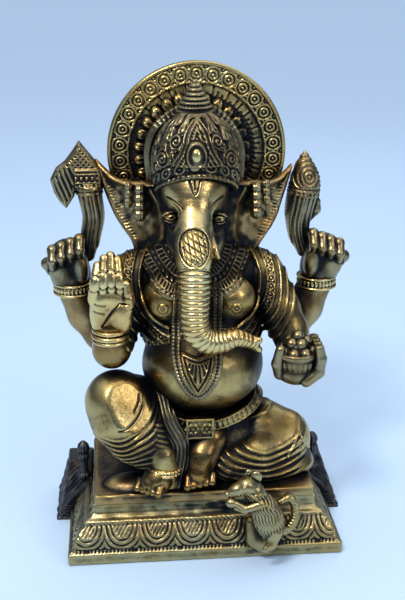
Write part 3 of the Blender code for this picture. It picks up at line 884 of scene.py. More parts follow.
EAR_LINES = {
    -1: [
        (17, 236), (24, 243), (36, 243.5), (46, 242.8), (54, 245), (61, 250.5), (66.5, 255), (64, 243),
        (59.5, 230), (55.5, 220), (51, 212), (44.5, 203), (41, 194.5), (34, 193), (26, 195), (16, 202),
    ],
    1: [
        (15, 234), (22, 243), (35, 243), (45, 240.8), (53.3, 241.4), (60, 245.5), (65.7, 249), (62.5, 237),
        (58.6, 226), (55, 215.5), (50.5, 208), (44.6, 201), (38.5, 193.5), (32, 192.5), (24, 195),
        (14, 202),
    ],
}


def ear_field(side):
    edge = outline(EAR_LINES[side])

    def field(P):
        out, y, z = P[:, 0] * side, P[:, 1], P[:, 2]
        inward = -edge(out, z)
        middle = -15 + 0.55 * (out - 18) + 0.004 * (out - 40) ** 2
        dish = 2.2 * step_up(2, 12, inward) * step_up(20, 30, out)
        edge_x = 24.5 + 0.012 * (z - 214) ** 2
        fold = 1.8 * bell(out - edge_x, 2.4) * step_up(198, 208, z)
        rim = (1.5 + 1.2 * step_up(238, 242, z)) * bell(inward - 1.9, 1.7)
        strokes = wave(z + 0.35 * out, 2.3) * step_up(9, 4, inward) * step_up(2.5, 4, inward)
        strokes = strokes * step_up(38, 44, out) * step_up(240, 236, z)
        ripple = 0.35 * grain(np.stack((out, 0 * out, z), 1), 6, 31)
        front = middle - 1.9 + dish - fold - rim - 0.55 * strokes + ripple
        back = middle + 1.9 + dish * 0.7 + 0.4 * rim
        sheet = soft_max(front - y, y - back, 1.2)
        return soft_max(sheet * 0.8, -inward, 1.6)

    return field


def ear_pendant(points, bulge):
    """A hanging tassel: blocks one below the other along the points."""

    def relief(s, u, v, r):
        return bulge * (wave(s, 5.2) ** 0.5 - 0.6) + 0.3 * wave(u, 2.2)

    return tube(points, relief=relief, spacing=0.6)


def add_head():
    cast("head", head_field, 0.45, "bright", margin=arr(5, 36, 20), stain=face_painted_shade)
    # The trunk's extra mark is painted shade on its sides and back, fading out towards its front.
    cast("trunk", trunk_field(), 0.5, "bright", stain=lambda P: 0.5 * step_up(-70, -62, P[:, 1]))
    for side, name in SIDES:
        line = ((8.5, -42, 215, 3), (10.8, -47, 209, 2.5), (12.6, -50.5, 204.5, 1.5))
        tusk = chain([(FACE_X + side * out, *rest) for out, *rest in line], k=1)
        cast(f"{name}_tusk", tusk, 0.5, "bright", margin=6)
        cast(f"{name}_ear", ear_field(side), 0.6, "umber")
        outer = mirrored(side, [(45, -6.5, 240.5, 2.2), (45.5, -7, 228, 2.6)])
        inner = mirrored(side, [(38, -11, 239, 2.8), (38.5, -11.5, 222.5, 4.2)])
        cast(f"{name}_ear_pendant_outer", ear_pendant(outer, 0.9), 0.5, "dark")
        cast(f"{name}_ear_pendant_inner", ear_pendant(inner, 1.2), 0.5, "dark")


# ---- crown and halo

CROWN_X, CROWN_Y = -1.5, -12
CROWN_PROFILE = [
    (234, 23), (240, 25.6), (248, 27.2), (258, 27.2), (266, 25.8), (274, 22.8), (281, 18.5), (286, 14),
    (289.5, 9),
]


def crown_low(angle):
    """Height of the crown's rim, which climbs over the forehead."""
    return 236.5 + 15.5 * clip(np.cos(angle), 0, 1) ** 1.3 * (abs(angle) < math.pi / 2)


def crown_relief(angle, h):
    """Beads and scrolls along the rim, four rows of leaves above it, and six curls."""
    t = h - crown_low(angle)
    u = angle * 26
    beads = 2.2 * arc((t - 1.6) / 2) * (0.5 + 0.5 * sqrt(wave(u, 3.2)))
    across = wrap(u + 2.5, 9.2)
    scroll = hypot(across, t - 7.6)
    middle = abs(u + 2.5) < 4
    scrolls = where(middle, 2.6 * arc(scroll / 3.4), (0.6 + 1.3 * wave(scroll, 2.9)) * (scroll < 4.9))
    total = beads + scrolls * (t > 3)
    for row, count in enumerate((18, 16, 13, 10)):
        start, tall = 10.5 + 8.5 * row, 13
        cell = wrap(angle + row * math.pi / count, TURN / count) * count / math.pi
        v = (t - start) / tall
        shape = leaf(cell, v) * (v > 0) * (v < 1)
        veins = 0.9 * wave(shape * 6, 2.6) + 0.6 * wave(abs(cell) * 4 + v * 6, 2.2)
        total = maximum(total, (0.9 + veins) * minimum(shape * 4, 1) * (t > 12))
    curls = (
        (-0.95, 262.5, 6), (0.85, 262.5, 6), (-0.62, 274, 4.5), (0.52, 274, 4.5), (-1.6, 268, 6),
        (1.5, 268, 6),
    )
    for place_angle, height, size in curls:
        a, b = (angle - place_angle) * 25, h - height
        near = hypot(a, b)
        curl = 0.9 + 1.5 * wave(near - 0.42 * arctan2(b, a), 2.7)
        total = where(near < size, curl, total)
    return total


def crown_field():
    dome = lathe((CROWN_X, CROWN_Y, 0), CROWN_PROFILE, crown_relief)
    arch = [
        (-30, -2, 244, 3), (-31, 0, 262, 3.2), (-26, 0, 276, 3.4), (-14, 0, 286, 3.8), (-1, 0, 289.5, 4.2),
        (12, 0, 286, 3.8), (23, 0, 275, 3.4), (28, 0, 262, 3.2), (27.5, -2, 244, 3),
    ]

    def arch_relief(s, u, v, r):
        return 0.9 * (wave(s, 3.4) - 0.5) * step_up(3.3, 3.7, r) + 0.6 * (wave(u, 3.4) - 0.5)

    frame_arch = tube(arch, relief=arch_relief)

    def field(P):
        angle = arctan2(P[:, 0] - CROWN_X, -(P[:, 1] - CROWN_Y))
        above = crown_low(angle) - P[:, 2]
        return minimum(soft_max(dome(P), above * 0.7, 1), frame_arch(P))

    return field


def crown_panel_field():
    dome = lathe((CROWN_X, CROWN_Y, 0), CROWN_PROFILE)

    def field(P):
        x, y, z = P[:, 0] + 2.6, P[:, 1], P[:, 2]
        v = (z - 251.5) / 37
        shape = maximum(np.cos(clip(v, 0, 1) * math.pi / 2) ** 0.8, 0.02) * (1 + 0.12 * sin(v * 9))
        edge = abs(x) / (15.5 * shape)
        contour = (1 - edge) * 15.5 * shape
        gem = hypot(x + 0.6, (z - 266) * 0.75)
        relief = wave(contour, 3.1) + 0.5 * wave(x * 0.8 + z, 2.4) * (contour > 3)
        ring = bell(gem - 5.8, 0.9) * 1.3
        relief = where(gem < 7.5, ring, relief)
        body = dome(P) - 2.4 - relief
        return soft_max(maximum(body, y + 14), maximum((edge - 1) * 6, 259.5 - z), 0.6)

    return field


HALO_X, HALO_Z, HALO_RADIUS = 1.6, 257, 60
# A ring of carved discs and, closer in, a ring of beads about its own centre.
DISCS, DISC_LINE, BEADS, BEAD_LINE, BEAD_SHIFT = 30, 51.6, 26, 34.6, 3
# The radii that turn an angle into millimetres along the discs, the rays and the beads.
DISC_ARC, RAY_ARC, BEAD_ARC = 51.5, 40, 35
RAY_PITCH = 3.4


def halo_relief(P):
    """Rim, discs with curls between them, rays, beads and the arch behind the crown."""
    x, z = P[:, 0] - HALO_X, P[:, 2] - HALO_Z
    r, angle = hypot(x, z), arctan2(x, z)
    rim = 1.3 * arc((r - 58.6) / 1.6)
    pitch = TURN / DISCS
    across = wrap(angle, pitch) * DISC_ARC
    near = hypot(across, (r - DISC_LINE) * 0.95)
    discs = 1.1 * wave(near, 2.45) * step_up(5.6, 4.9, near)
    between = hypot(wrap(angle + pitch / 2, pitch) * DISC_ARC, abs(r - DISC_LINE) - 5)
    curls = 0.8 * wave(between, 2.3) * (near > 5.2)
    scrolls = (discs + curls) * step_up(45.4, 46.2, r) * step_up(57.2, 56.6, r)
    ray = wrap(angle * RAY_ARC, RAY_PITCH)
    reach = 42 + 3 * sin(np.round(angle * RAY_ARC / RAY_PITCH) * 2.4)
    rays = -0.8 * bell(ray, 0.7) * step_up(35, 36, r) * step_up(reach + 1, reach, r)
    lip = 0.8 * bell(r - 45.8, 0.7)
    ring, turn = hypot(x + BEAD_SHIFT, z), arctan2(x + BEAD_SHIFT, z)
    from_bead = hypot(wrap(turn, TURN / BEADS) * BEAD_ARC, (ring - BEAD_LINE) * 0.75)
    bead = maximum(1 - (from_bead / 3.9) ** 4, 0) ** 0.5 * 5
    arch = 1.6 * bell(ring - 28.5, 1.6) * (0.7 + 0.3 * wave(turn * 28, 3))
    return rim + scrolls + rays + lip + bead + arch


def halo_highlight_and_shade(P):
    """Painted highlight at the top and painted shade down both sides; darker still over the bead ring and
    inside it, and on the back.
    """
    x, z = P[:, 0] - HALO_X, P[:, 2] - HALO_Z
    r, angle = hypot(x, z), abs(arctan2(x, z) + 0.15)
    sides = 0.45 * step_up(0.5, 1.3, angle) - 0.25 * step_up(1.2, 0.4, angle)
    return where(P[:, 1] < 20, sides + 1.1 * step_up(40, 37.5, r), 0.3)


def halo_field(P):
    x, y, z = P[:, 0] - HALO_X, P[:, 1], P[:, 2] - HALO_Z
    r = hypot(x, z)
    dish = 1.2 * step_up(30, 46, r)
    front = 18.8 - 0.4 * dish - halo_relief(P) * 0.8 - y
    back = y - 21.6 - 0.7 * bell(r - 57.5, 2) - 0.1 * grain(P, 12, 21)
    return soft_max(soft_max(front, back, 0.8), r - HALO_RADIUS, 1.2) * 0.85


def add_crown():
    cast("crown", crown_field(), 0.55, "dark")
    cast("crown_panel", crown_panel_field(), 0.5, "dark")
    cast("crown_gem", ball((-3.2, -38.5, 266), (3.9, 3.6, 5.2)), 0.5, "bright")
    cone = [(284, 13.5), (289, 11.6), (293, 9.6), (297, 7.4), (301, 5), (305, 2.9), (308.5, 0.8)]
    finial = lathe(
        (CROWN_X, -6, 0), cone,
        lambda a, h: 1.2 * wave(h, 2.7) ** 0.6 - 0.5 + 0.35 * wave(a * 12, 2.6) * (h < 297),
    )
    cast("crown_finial", finial, 0.45, "dark", stain=lambda P: 0.25)
    cast("halo", halo_field, 0.55, margin=4, stain=halo_highlight_and_shade)
    bar = [(1, 12, 176, 5), (1, 20.5, 192, 5), (1, 27.5, 206, 4.5), (1, 27, 224, 4.4), (1, 25.5, 240, 4)]
    cast("halo_strut", tube(bar, up=(1, 0, 0)), 0.9, "rough")


# ---- ornaments

# The collar is laid in lanes of one width round the neck, from COLLAR_INNER outwards.
COLLAR_X, COLLAR_Z, COLLAR_INNER, LANE = -3.5, 208, 14.5, 4.9


def collar_field(P):
    x, y, z = P.T
    away = hypot(x - COLLAR_X, (z - COLLAR_Z) / 0.86)
    lane = np.floor((away - COLLAR_INNER) / LANE + 0.5)
    around = arctan2(x - COLLAR_X, COLLAR_Z - z) * (COLLAR_INNER + LANE * lane)
    edges = bell(wrap(away - COLLAR_INNER - LANE / 2, LANE), 0.55)
    ribs = wave(around, 2.3)
    studs = wave(around, 3.6) * wave(away - COLLAR_INNER, LANE)
    fill = where(lane % 2 == 0, ribs, studs)
    relief = 1.3 + maximum(edges * 0.9, fill * (edges < 0.5))
    d = torso_base(P) - relief * step_up(43, 39, away)
    return highest(d, away - 42.5, y + 6) * 0.9


def strand_relief(s, u):
    """Two rows of close ribs with a groove between them."""
    rows = arc((abs(u) - 0.5) / 0.5)
    return 1.0 + 1.3 * rows * (0.55 + 0.45 * wave(s, 2.2))


def garland_field():
    line = [
        (-15, 184), (-16.5, 165), (-17.5, 150), (-18, 138), (-14.5, 124), (-4.5, 113.5), (5.5, 124),
        (9, 137), (9.5, 150), (9.7, 165), (9.8, 184),
    ]
    return hugging(torso_base, [(*place, 3.4) for place in line], strand_relief, -20)


TONGUE = outline([
    (-14.5, 141), (-13.5, 131), (-9, 121), (-4.5, 115), (0, 121), (5, 131), (6, 141), (-4.5, 139),
])


def pendant_field(P):
    """The fluted tongue that fills the bottom of the garland."""
    x, y, z = P.T
    inward = -TONGUE(x, z)
    fan = arctan2(x + 4.5, 146 - z)
    flutes = wave(fan, 0.17) * step_up(3.2, 4, inward)
    rim = wave(inward - 1.2, 2.6) * step_up(4.2, 3.6, inward)
    relief = 2.0 + 0.9 * flutes + 1.1 * rim
    return highest(torso_base(P) - relief, -inward, y + 30) * 0.9


def strap_relief(s, u):
    return 0.8 + 0.9 * wave(s + 1.2 * u, 2.6) * (abs(u) < 0.75) + 0.5 * (abs(u) >= 0.75)


def belt_relief(s, u):
    rails = bell(abs(u) - 0.82, 0.16)
    return 0.9 + 0.9 * rails + 0.8 * wave(s, 3.6) * wave(u * 3, 6) * (abs(u) < 0.7)


def buckle_field(P):
    x, y, z = P[:, 0] + 2.7, P[:, 1], P[:, 2] - 88
    box = highest(abs(x) - 9.4, abs(z) - 7.4, abs(y + 53.5) - 2.4)
    cell = hypot(wrap(x + 4.5, 9), z)
    turn = arctan2(z, wrap(x + 4.5, 9))
    flower = 1.1 * wave(cell, 3.1) * (0.6 + 0.4 * np.cos(6 * turn)) * (cell < 4.6)
    frame_line = bell(maximum(abs(x) - 9.4, abs(z) - 7.4) + 1, 0.7)
    return box - (flower + 0.8 * frame_line) * (y < -52)


def sash_field(side):
    """A pleated shawl over the upper arm, with one band of small rings."""
    limbs = join(torso_base, right_upper if side < 0 else left_upper, rear_arm(side), k=5)
    centre_x, centre_z = (-13, 182) if side < 0 else (13, 181)
    ring_line = 34.2

    def field(P):
        x, y, z = P.T
        away = hypot(x - centre_x, (z - centre_z) * 0.92)
        around = arctan2(z - centre_z, side * (x - centre_x)) * 34
        pleats = bell(wrap(away - 27, 4.8), 0.8)
        rings = hypot(wrap(around, 5), away - ring_line)
        studs = wave(rings, 2.4) * (rings < 2.3)
        relief = 1.7 + pleats * (abs(away - ring_line) > 2.2) + 0.9 * studs
        d = limbs(P) - relief
        mask = highest(25.5 - away, away - 52, y - 3, 138 - z + 0.25 * (50 - side * x))
        return maximum(d, mask) * 0.9

    return field


def cloth_field():
    """The pleated end of the waist cloth, hanging between the legs onto the slab."""
    line = [
        (-28, -38, 110, 3), (-25, -47, 100, 5), (-21, -52, 90, 6), (-16, -55, 77, 6), (-16, -57, 64, 5.6),
        (-20, -58.5, 50, 5),
    ]

    def relief(s, u, v, r):
        return 0.9 * (wave(u + 0.7 * sin(s / 5), 2.7) - 0.5) + 0.5 * sin(s / 2.6)

    return tube(line, relief=relief, flat=0.6)


def add_ornaments():
    # The torso's extra mark is painted shade growing towards +X, with a slight painted highlight below X 8.
    cast("torso", torso_field, 0.7, margin=4, stain=lambda P: 0.35 * step_up(8, 34, P[:, 0]) - 0.1)
    cast("collar", collar_field, 0.55, "dark", margin=10)
    cast("garland", garland_field(), 0.55, "dark")
    cast("garland_pendant", pendant_field, 0.5, margin=9)
    strap = [(-38, 139), (-27, 145), (-14, 150), (2, 152), (18, 152), (32, 150), (40, 149)]
    strap = [(*place, 2.4) for place in strap]
    cast("chest_strap", hugging(torso_base, strap, strap_relief), 0.55)
    girdle = [
        (-42, 106, 3.4), (-32, 99, 3.4), (-18, 91, 3.6), (-2.7, 88, 3.6), (12, 89, 3.8), (30, 94, 3.8),
        (41, 99, 3.6), (47, 104, 3.4),
    ]
    cast("belt", hugging(waist_base, girdle, belt_relief, -4), 0.6, margin=6)
    cast("belt_buckle", buckle_field, 0.5)
    for side, name in SIDES:
        cast(f"{name}_sash", sash_field(side), 0.6, margin=12)
    cast("waist_cloth", cloth_field(), 0.6, "dark")


# ---- attributes


def axe_head_field():
    body = outline(
        [
            (-62.5, 236), (-62.5, 246), (-66.5, 254), (-71.5, 260.5), (-76.6, 267), (-81.5, 260),
            (-86.5, 253.6), (-92.5, 249), (-96.2, 242), (-94, 233), (-90.5, 227), (-86.4, 222.3),
            (-83.5, 226.5), (-80.5, 231), (-80, 236),
        ],
        smooth=False,
    )

    def field(P):
        x, y, z = P.T
        inward = -body(x, z)
        ovals = hypot(wrap(x, 3.6), (z - 243) * 0.75)
        socket, point = (x > -80) * (z < 250), (z >= 250) * (z < 263)
        banded = where(abs(z - 243) < 2.6, wave(ovals, 3), wave(z - 237.5, 2.7)) * socket
        knots = maximum(wave(x + z, 3.6), wave(x - z, 3.6)) * point * (inward > 2)
        slats = wave(x * 0.93 + z * 0.37, 3.3) * (x <= -80) * (inward > 1.5) * (z < 254)
        edge_line = bell(inward - 1.2, 0.8)
        relief = highest(banded, knots, slats, edge_line)
        thick = 3.6 + 1.4 * step_up(0, 5, inward) + 1.2 * socket
        return soft_max(abs(y - 12) - thick - relief, -inward, 1) * 0.85

    return field


def axe_handle_field():
    line = [
        (-73, 8, 190, 4.5), (-71, 8, 203, 6.4), (-68.6, 10, 216, 7.4), (-70, 11, 228, 7.9),
        (-71, 12, 236, 8.2),
    ]
    grooves = tube(line, relief=lambda s, u, v, r: 0.9 * wave(abs(u) + 0.8, 3.4) * step_up(4, 9, s))
    collar_ring = lathe((-71, 12, 0), [(231, 8.4), (233, 9.6), (234, 8.6), (235.5, 9.8), (238, 9)])
    return join(grooves, collar_ring, k=0.6)


def noose_field():
    line = [
        (73.8, 12, 257, 1), (73.8, 12, 250, 5.4), (74, 12, 240, 9.2), (73.6, 12, 231, 10.4),
        (71.5, 11.5, 220, 9.8), (70, 11, 210, 8.4), (71, 10, 200, 6.6), (74, 8, 190, 4.6),
    ]

    def relief(s, u, v, r):
        low = wave(abs(u + 0.5) - 1, 3.1) * (0.75 + 0.25 * wave(s, 2.1)) * step_up(24, 27, s)
        rosette = hypot(s - 15.5, u + 2)
        top = wave(rosette, 2.8) * step_up(22.5, 21, s)
        bands = sum(bell(s - at, 0.9) for at in (22.5, 25.5, 28.5)) * (0.5 + 0.5 * wave(u + s, 2.6))
        return 0.9 * (low + top) * 0.8 + 0.8 * bands

    hook = chain([(77, 11, 213, 4), (81.5, 10.5, 218, 4.2), (82, 10.5, 223, 3.4)], k=1)
    bulge = ball((78.6, 12, 236), (6, 6, 13), 6)
    return join(tube(line, relief=relief), hook, lambda P: bulge(P) - 0.6 * wave(P[:, 2], 3), k=1)


# ---- mouse


def mouse_field():
    body = join(
        chain([(42, -83, 27, 8), (40, -84, 35, 9), (36, -84, 44, 8), (31.5, -84, 53, 6.6)], k=4),
        chain([(30, -84, 57, 6), (25, -84, 60.5, 5.6), (18, -84.5, 58, 3.8), (13, -85, 56, 2.2)], k=2.5),
        k=2.5,
    )
    ears = join(ball((31.5, -82, 65.5), (3.8, 1.8, 4.2), 15), ball((27, -79, 66), (3, 1.6, 3.6)), k=0.3)
    legs = join(
        chain([(33, -90, 50, 3.2), (24, -91, 47.5, 2.4), (18, -89, 50.5, 2)], k=1),
        chain([(31, -82, 47, 3), (24, -87, 44, 2.2), (18, -88, 47, 1.8)], k=1),
        chain([(43, -88, 27, 6), (41, -91, 20.5, 3.2), (37, -92.5, 18, 2.2)], k=2),
        ball((14.5, -88, 51), (3.6, 3.2, 3.2)),
        k=0.6,
    )

    def field(P):
        x, _, z = P.T
        furry = body(P) - 0.55 * wave(x * 1.2 + z * 0.5 + 0.6 * sin(z * 0.7), 2.5) * (z < 57)
        band = abs((x - 31) * 0.55 + (z - 54) * 0.85)
        furry = furry - bell(band, 1.0) * (x > 24) * (z > 45)
        eye = length((P - arr(22.6, -89, 62)) * arr(1, 0.8, 1)) - 1.3
        d = soft_min(furry, minimum(legs(P), ears(P)), 0.8)
        return minimum(d, eye)

    return field


def ledge_field(P):
    """The smooth scoop that the mouse stands on."""
    right, left = [(40, -75, 11, 7.4), (41, -72, 22, 8)], [(30, -72, 26, 4), (31, -74, 14, 5)]
    bed = join(chain(right, k=5), chain(left, k=4), k=6)
    scoop = ball((37, -96, 30), (15, 15, 16))
    return maximum(soft_max(bed(P), -scoop(P), 3), 7 - P[:, 2])


def add_attributes():
    cast("axe_head", axe_head_field(), 0.55, "dark")
    cast("axe_handle", axe_handle_field(), 0.55, "dark")
    cast("noose", noose_field(), 0.55, "dark")
    cast("mouse", mouse_field(), 0.5, "dull", margin=6)
    curl = [
        (47, -82, 25, 3.2), (53, -79, 23.5, 3.1), (58.2, -77, 30, 3), (58.4, -75, 39, 2.9),
        (54.5, -75.5, 45, 2.6), (48, -77.5, 43.5, 2),
    ]
    cast("mouse_tail", tube(curl, relief=lambda s, u, v, r: 0.4 * (wave(s, 2.4) - 0.5)), 0.5, "dull")
    cast("mouse_ledge", ledge_field, 0.8, "dull")


add_plinth()
add_legs()
add_arms()
add_hands()
add_head()
add_crown()
add_ornaments()
add_attributes()


# ---- patina and painted shade

GRID_STEP = 1.6
# The widths over which a surface is smoothed to find its hollows, in millimetres.
HOLLOW_WIDTHS = 1.4, 3.6


def occupancy():
    """Which parts of the statue's box are metal, on a coarse grid."""
    low = np.min([p["low"] for p in PIECES], 0) - 8
    high = np.max([p["high"] for p in PIECES], 0) + 8
    shape = np.ceil((high - low) / GRID_STEP).astype(int)
    filled = np.zeros(shape, np.float32)
    for piece in PIECES:
        first = np.floor((piece["low"] - low) / GRID_STEP).astype(int)
        last = np.ceil((piece["high"] - low) / GRID_STEP).astype(int) + 1
        index = np.indices(last - first).reshape(3, -1).T + first
        d = evaluated(piece["field"], low + index * GRID_STEP)
        share = clip(0.5 - d / GRID_STEP, 0, 1)
        block = filled[first[0] : last[0], first[1] : last[1], first[2] : last[2]]
        maximum(block, share.reshape(block.shape), out=block)
    return low, filled


def blurred(grid, width):
    """The grid blurred to a bell of that width in millimetres."""
    spectrum = np.fft.rfftn(grid)
    squares = 0
    for axis, count in enumerate(grid.shape):
        f = np.fft.rfftfreq(count) if axis == 2 else np.fft.fftfreq(count)
        shape = [1, 1, 1]
        shape[axis] = len(f)
        squares = squares + (f.reshape(shape) / GRID_STEP) ** 2
    return np.fft.irfftn(spectrum * np.exp(-2 * (math.pi * width) ** 2 * squares), grid.shape)


def read_grid(grid, low, points):
    q = (points - low) / GRID_STEP
    i = clip(np.floor(q).astype(int), 0, np.array(grid.shape) - 2)
    t = q - i
    total = 0
    for c in CORNERS:
        weight = np.prod(where(c, t, 1 - t), 1)
        total = total + weight * grid[tuple((i + c).T)]
    return total


def mesh_normals(points, quads):
    n = np.cross(points[quads[:, 2]] - points[quads[:, 0]], points[quads[:, 3]] - points[quads[:, 1]])
    total = np.zeros_like(points)
    for k in range(4):
        for axis in range(3):
            total[:, axis] += np.bincount(quads[:, k], n[:, axis], len(points))
    return total / maximum(length(total), 1e-9)[:, None]


def hollows(piece, normals):
    """How far each vertex lies below its neighbourhood, narrowly and widely, in millimetres."""
    points, quads = piece["points"], piece["quads"]
    pairs = np.vstack([quads[:, (k, (k + 1) % 4)] for k in range(4)])
    links = np.bincount(pairs.ravel(), minlength=len(points))
    spread = points.copy()
    found = []
    rounds = {int(round((width / piece["step"]) ** 2)) or 1 for width in HOLLOW_WIDTHS}
    for k in range(max(rounds)):
        total = [
            np.bincount(pairs[:, 0], spread[pairs[:, 1], axis], len(points))
            + np.bincount(pairs[:, 1], spread[pairs[:, 0], axis], len(points))
            for axis in range(3)
        ]
        spread = np.stack(total, 1) / maximum(links, 1)[:, None]
        if k + 1 in rounds:
            found.append(((spread - points) * normals).sum(1))
    return found[0], found[-1]


grid_low, filled = occupancy()
NEAR_BLUR, WIDE_BLUR = 3.5, 9
near_grid, wide_grid = blurred(filled, NEAR_BLUR), blurred(filled, WIDE_BLUR)

# ---- materials


def math_node(tree, operation, a, b, clamp=False):
    made = tree.nodes.new("ShaderNodeMath")
    made.operation = operation
    made.use_clamp = clamp
    for socket, value in zip(made.inputs, (a, b)):
        if isinstance(value, (int, float)):
            socket.default_value = value
        else:
            tree.links.new(value, socket)
    return made.outputs[0]


def noise(tree, coordinates, scale, detail=3.0, rough=0.6):
    made = tree.nodes.new("ShaderNodeTexNoise")
    made.inputs["Scale"].default_value = scale
    made.inputs["Detail"].default_value = detail
    made.inputs["Roughness"].default_value = rough
    tree.links.new(coordinates, made.inputs["Vector"])
    return made.outputs["Fac"]


def ramp(tree, value, stops):
    made = tree.nodes.new("ShaderNodeValToRGB")
    band = made.color_ramp
    while len(band.elements) < len(stops):
        band.elements.new(0.5)
    for element, (place, colour) in zip(band.elements, stops):
        element.position = place
        element.color = (*colour, 1)
    tree.links.new(value, made.inputs["Fac"])
    return made.outputs["Color"]


def mixed(tree, share, first, second, blend="MIX"):
    made = tree.nodes.new("ShaderNodeMix")
    made.data_type = "RGBA"
    made.blend_type = blend
    for socket, value in ((made.inputs[0], share), (made.inputs[6], first), (made.inputs[7], second)):
        if isinstance(value, tuple):
            socket.default_value = (*value, 1)
        elif isinstance(value, (int, float)):
            socket.default_value = value
        else:
            tree.links.new(value, socket)
    return made.outputs[2]


def brass(name, gold, olive, dirt, polish):
    """Rubbed antique brass: gold on the high spots, olive between, near black in the hollows and under
    painted shade, lighter under painted highlights.
    """
    material = bpy.data.materials.new(name)
    material.use_nodes = True
    tree = material.node_tree
    shader = tree.nodes["Principled BSDF"]
    place = tree.nodes.new("ShaderNodeTexCoord").outputs["Object"]
    marks = {}
    for key in ("hollow", "shade", "proud"):
        mark = tree.nodes.new("ShaderNodeAttribute")
        mark.attribute_name = key
        marks[key] = mark.outputs["Fac"]

    def add(a, b, clamp=False):
        return math_node(tree, "ADD", a, b, clamp)

    def times(a, b):
        return math_node(tree, "MULTIPLY", a, b)

    def centred(value, strength):
        return times(math_node(tree, "SUBTRACT", value, 0.5), strength)

    clouds = noise(tree, place, 28, 4)
    patches = noise(tree, place, 90, 4, 0.65)
    specks = noise(tree, place, 620, 3, 0.7)
    # How dark the metal is: the hollows, painted shade and painted highlights from the attributes, then
    # random patches, specks and the finish's dirt.
    dark = add(marks["hollow"], times(marks["shade"], 0.9))
    dark = add(dark, centred(patches, 0.7))
    dark = add(dark, centred(specks, 0.6))
    dark = add(dark, dirt, clamp=True)
    blots = noise(tree, place, 62, 3, 0.55)
    clouds = add(times(clouds, 0.45), times(blots, 0.45))
    clouds = add(clouds, times(marks["proud"], 0.22))
    between = tuple((g + o) / 2 for g, o in zip(gold, olive))
    tint = ramp(tree, clouds, [(0.4, olive), (0.52, between), (0.62, gold)])
    warm = ramp(tree, noise(tree, place, 34, 3), [(0.42, (1, 1, 1)), (0.6, (0.95, 0.66, 0.36))])
    tint = mixed(tree, 0.5, tint, warm, "MULTIPLY")
    # The near-black used for the patina in the hollows and for the painted shade.
    patina_and_shade = ramp(tree, patches, [(0.35, (0.008, 0.011, 0.018)), (0.6, (0.026, 0.026, 0.026))])
    greys = ((0.0, 0), (0.28, 0.12), (0.55, 0.72), (0.85, 1))
    share = ramp(tree, dark, [(at, (grey,) * 3) for at, grey in greys])
    tree.links.new(mixed(tree, share, tint, patina_and_shade), shader.inputs["Base Color"])
    rough = add(times(dark, 0.3), polish)
    rough = add(rough, times(specks, 0.12))
    tree.links.new(rough, shader.inputs["Roughness"])
    shader.inputs["Metallic"].default_value = 1
    bump = tree.nodes.new("ShaderNodeBump")
    bump.inputs["Strength"].default_value = 0.5
    bump.inputs["Distance"].default_value = 0.0004
    rise = add(times(specks, 0.5), noise(tree, place, 240, 3))
    tree.links.new(rise, bump.inputs["Height"])
    tree.links.new(bump.outputs["Normal"], shader.inputs["Normal"])
    return material


GOLD, OLIVE = (0.50, 0.39, 0.16), (0.13, 0.10, 0.045)
# The slot and the material of each finish.
FINISHES = {
    "bright": ("polished_brass", brass("rubbed_brass", (0.74, 0.60, 0.28), (0.30, 0.22, 0.09), 0.04, 0.2)),
    "antique": ("antique_brass", brass("antique_brass", GOLD, OLIVE, 0.17, 0.22)),
    "dull": ("antique_brass", brass("dull_brass", (0.43, 0.37, 0.19), (0.125, 0.11, 0.06), 0.17, 0.25)),
    "dark": (
        "dark_patina_brass", brass("dark_brass", (0.32, 0.27, 0.15), (0.07, 0.065, 0.045), 0.24, 0.24),
    ),
    "umber": ("antique_brass", brass("umber_brass", (0.40, 0.29, 0.13), (0.10, 0.062, 0.03), 0.2, 0.24)),
    "brown": ("antique_brass", brass("brown_brass", (0.33, 0.22, 0.08), (0.10, 0.052, 0.02), 0.14, 0.18)),
    "rough": (
        "dark_patina_brass", brass("cast_brass", (0.085, 0.085, 0.085), (0.03, 0.035, 0.045), 0.3, 0.38),
    ),
}
# Patina and painted shade: full depth of narrow and wide hollows in mm, how far off the surface the
# metal around it is read, and the shares of metal there from which painted shade and polish begin.
NARROW_DEPTH, WIDE_DEPTH = 0.22, 0.8
NEAR_LOOK, FAR_LOOK = 2.0, 5.0
SHADE_FROM, SHADE_SPAN, PROUD_BELOW, PROUD_SPAN = 0.22, 0.34, 0.3, 0.16


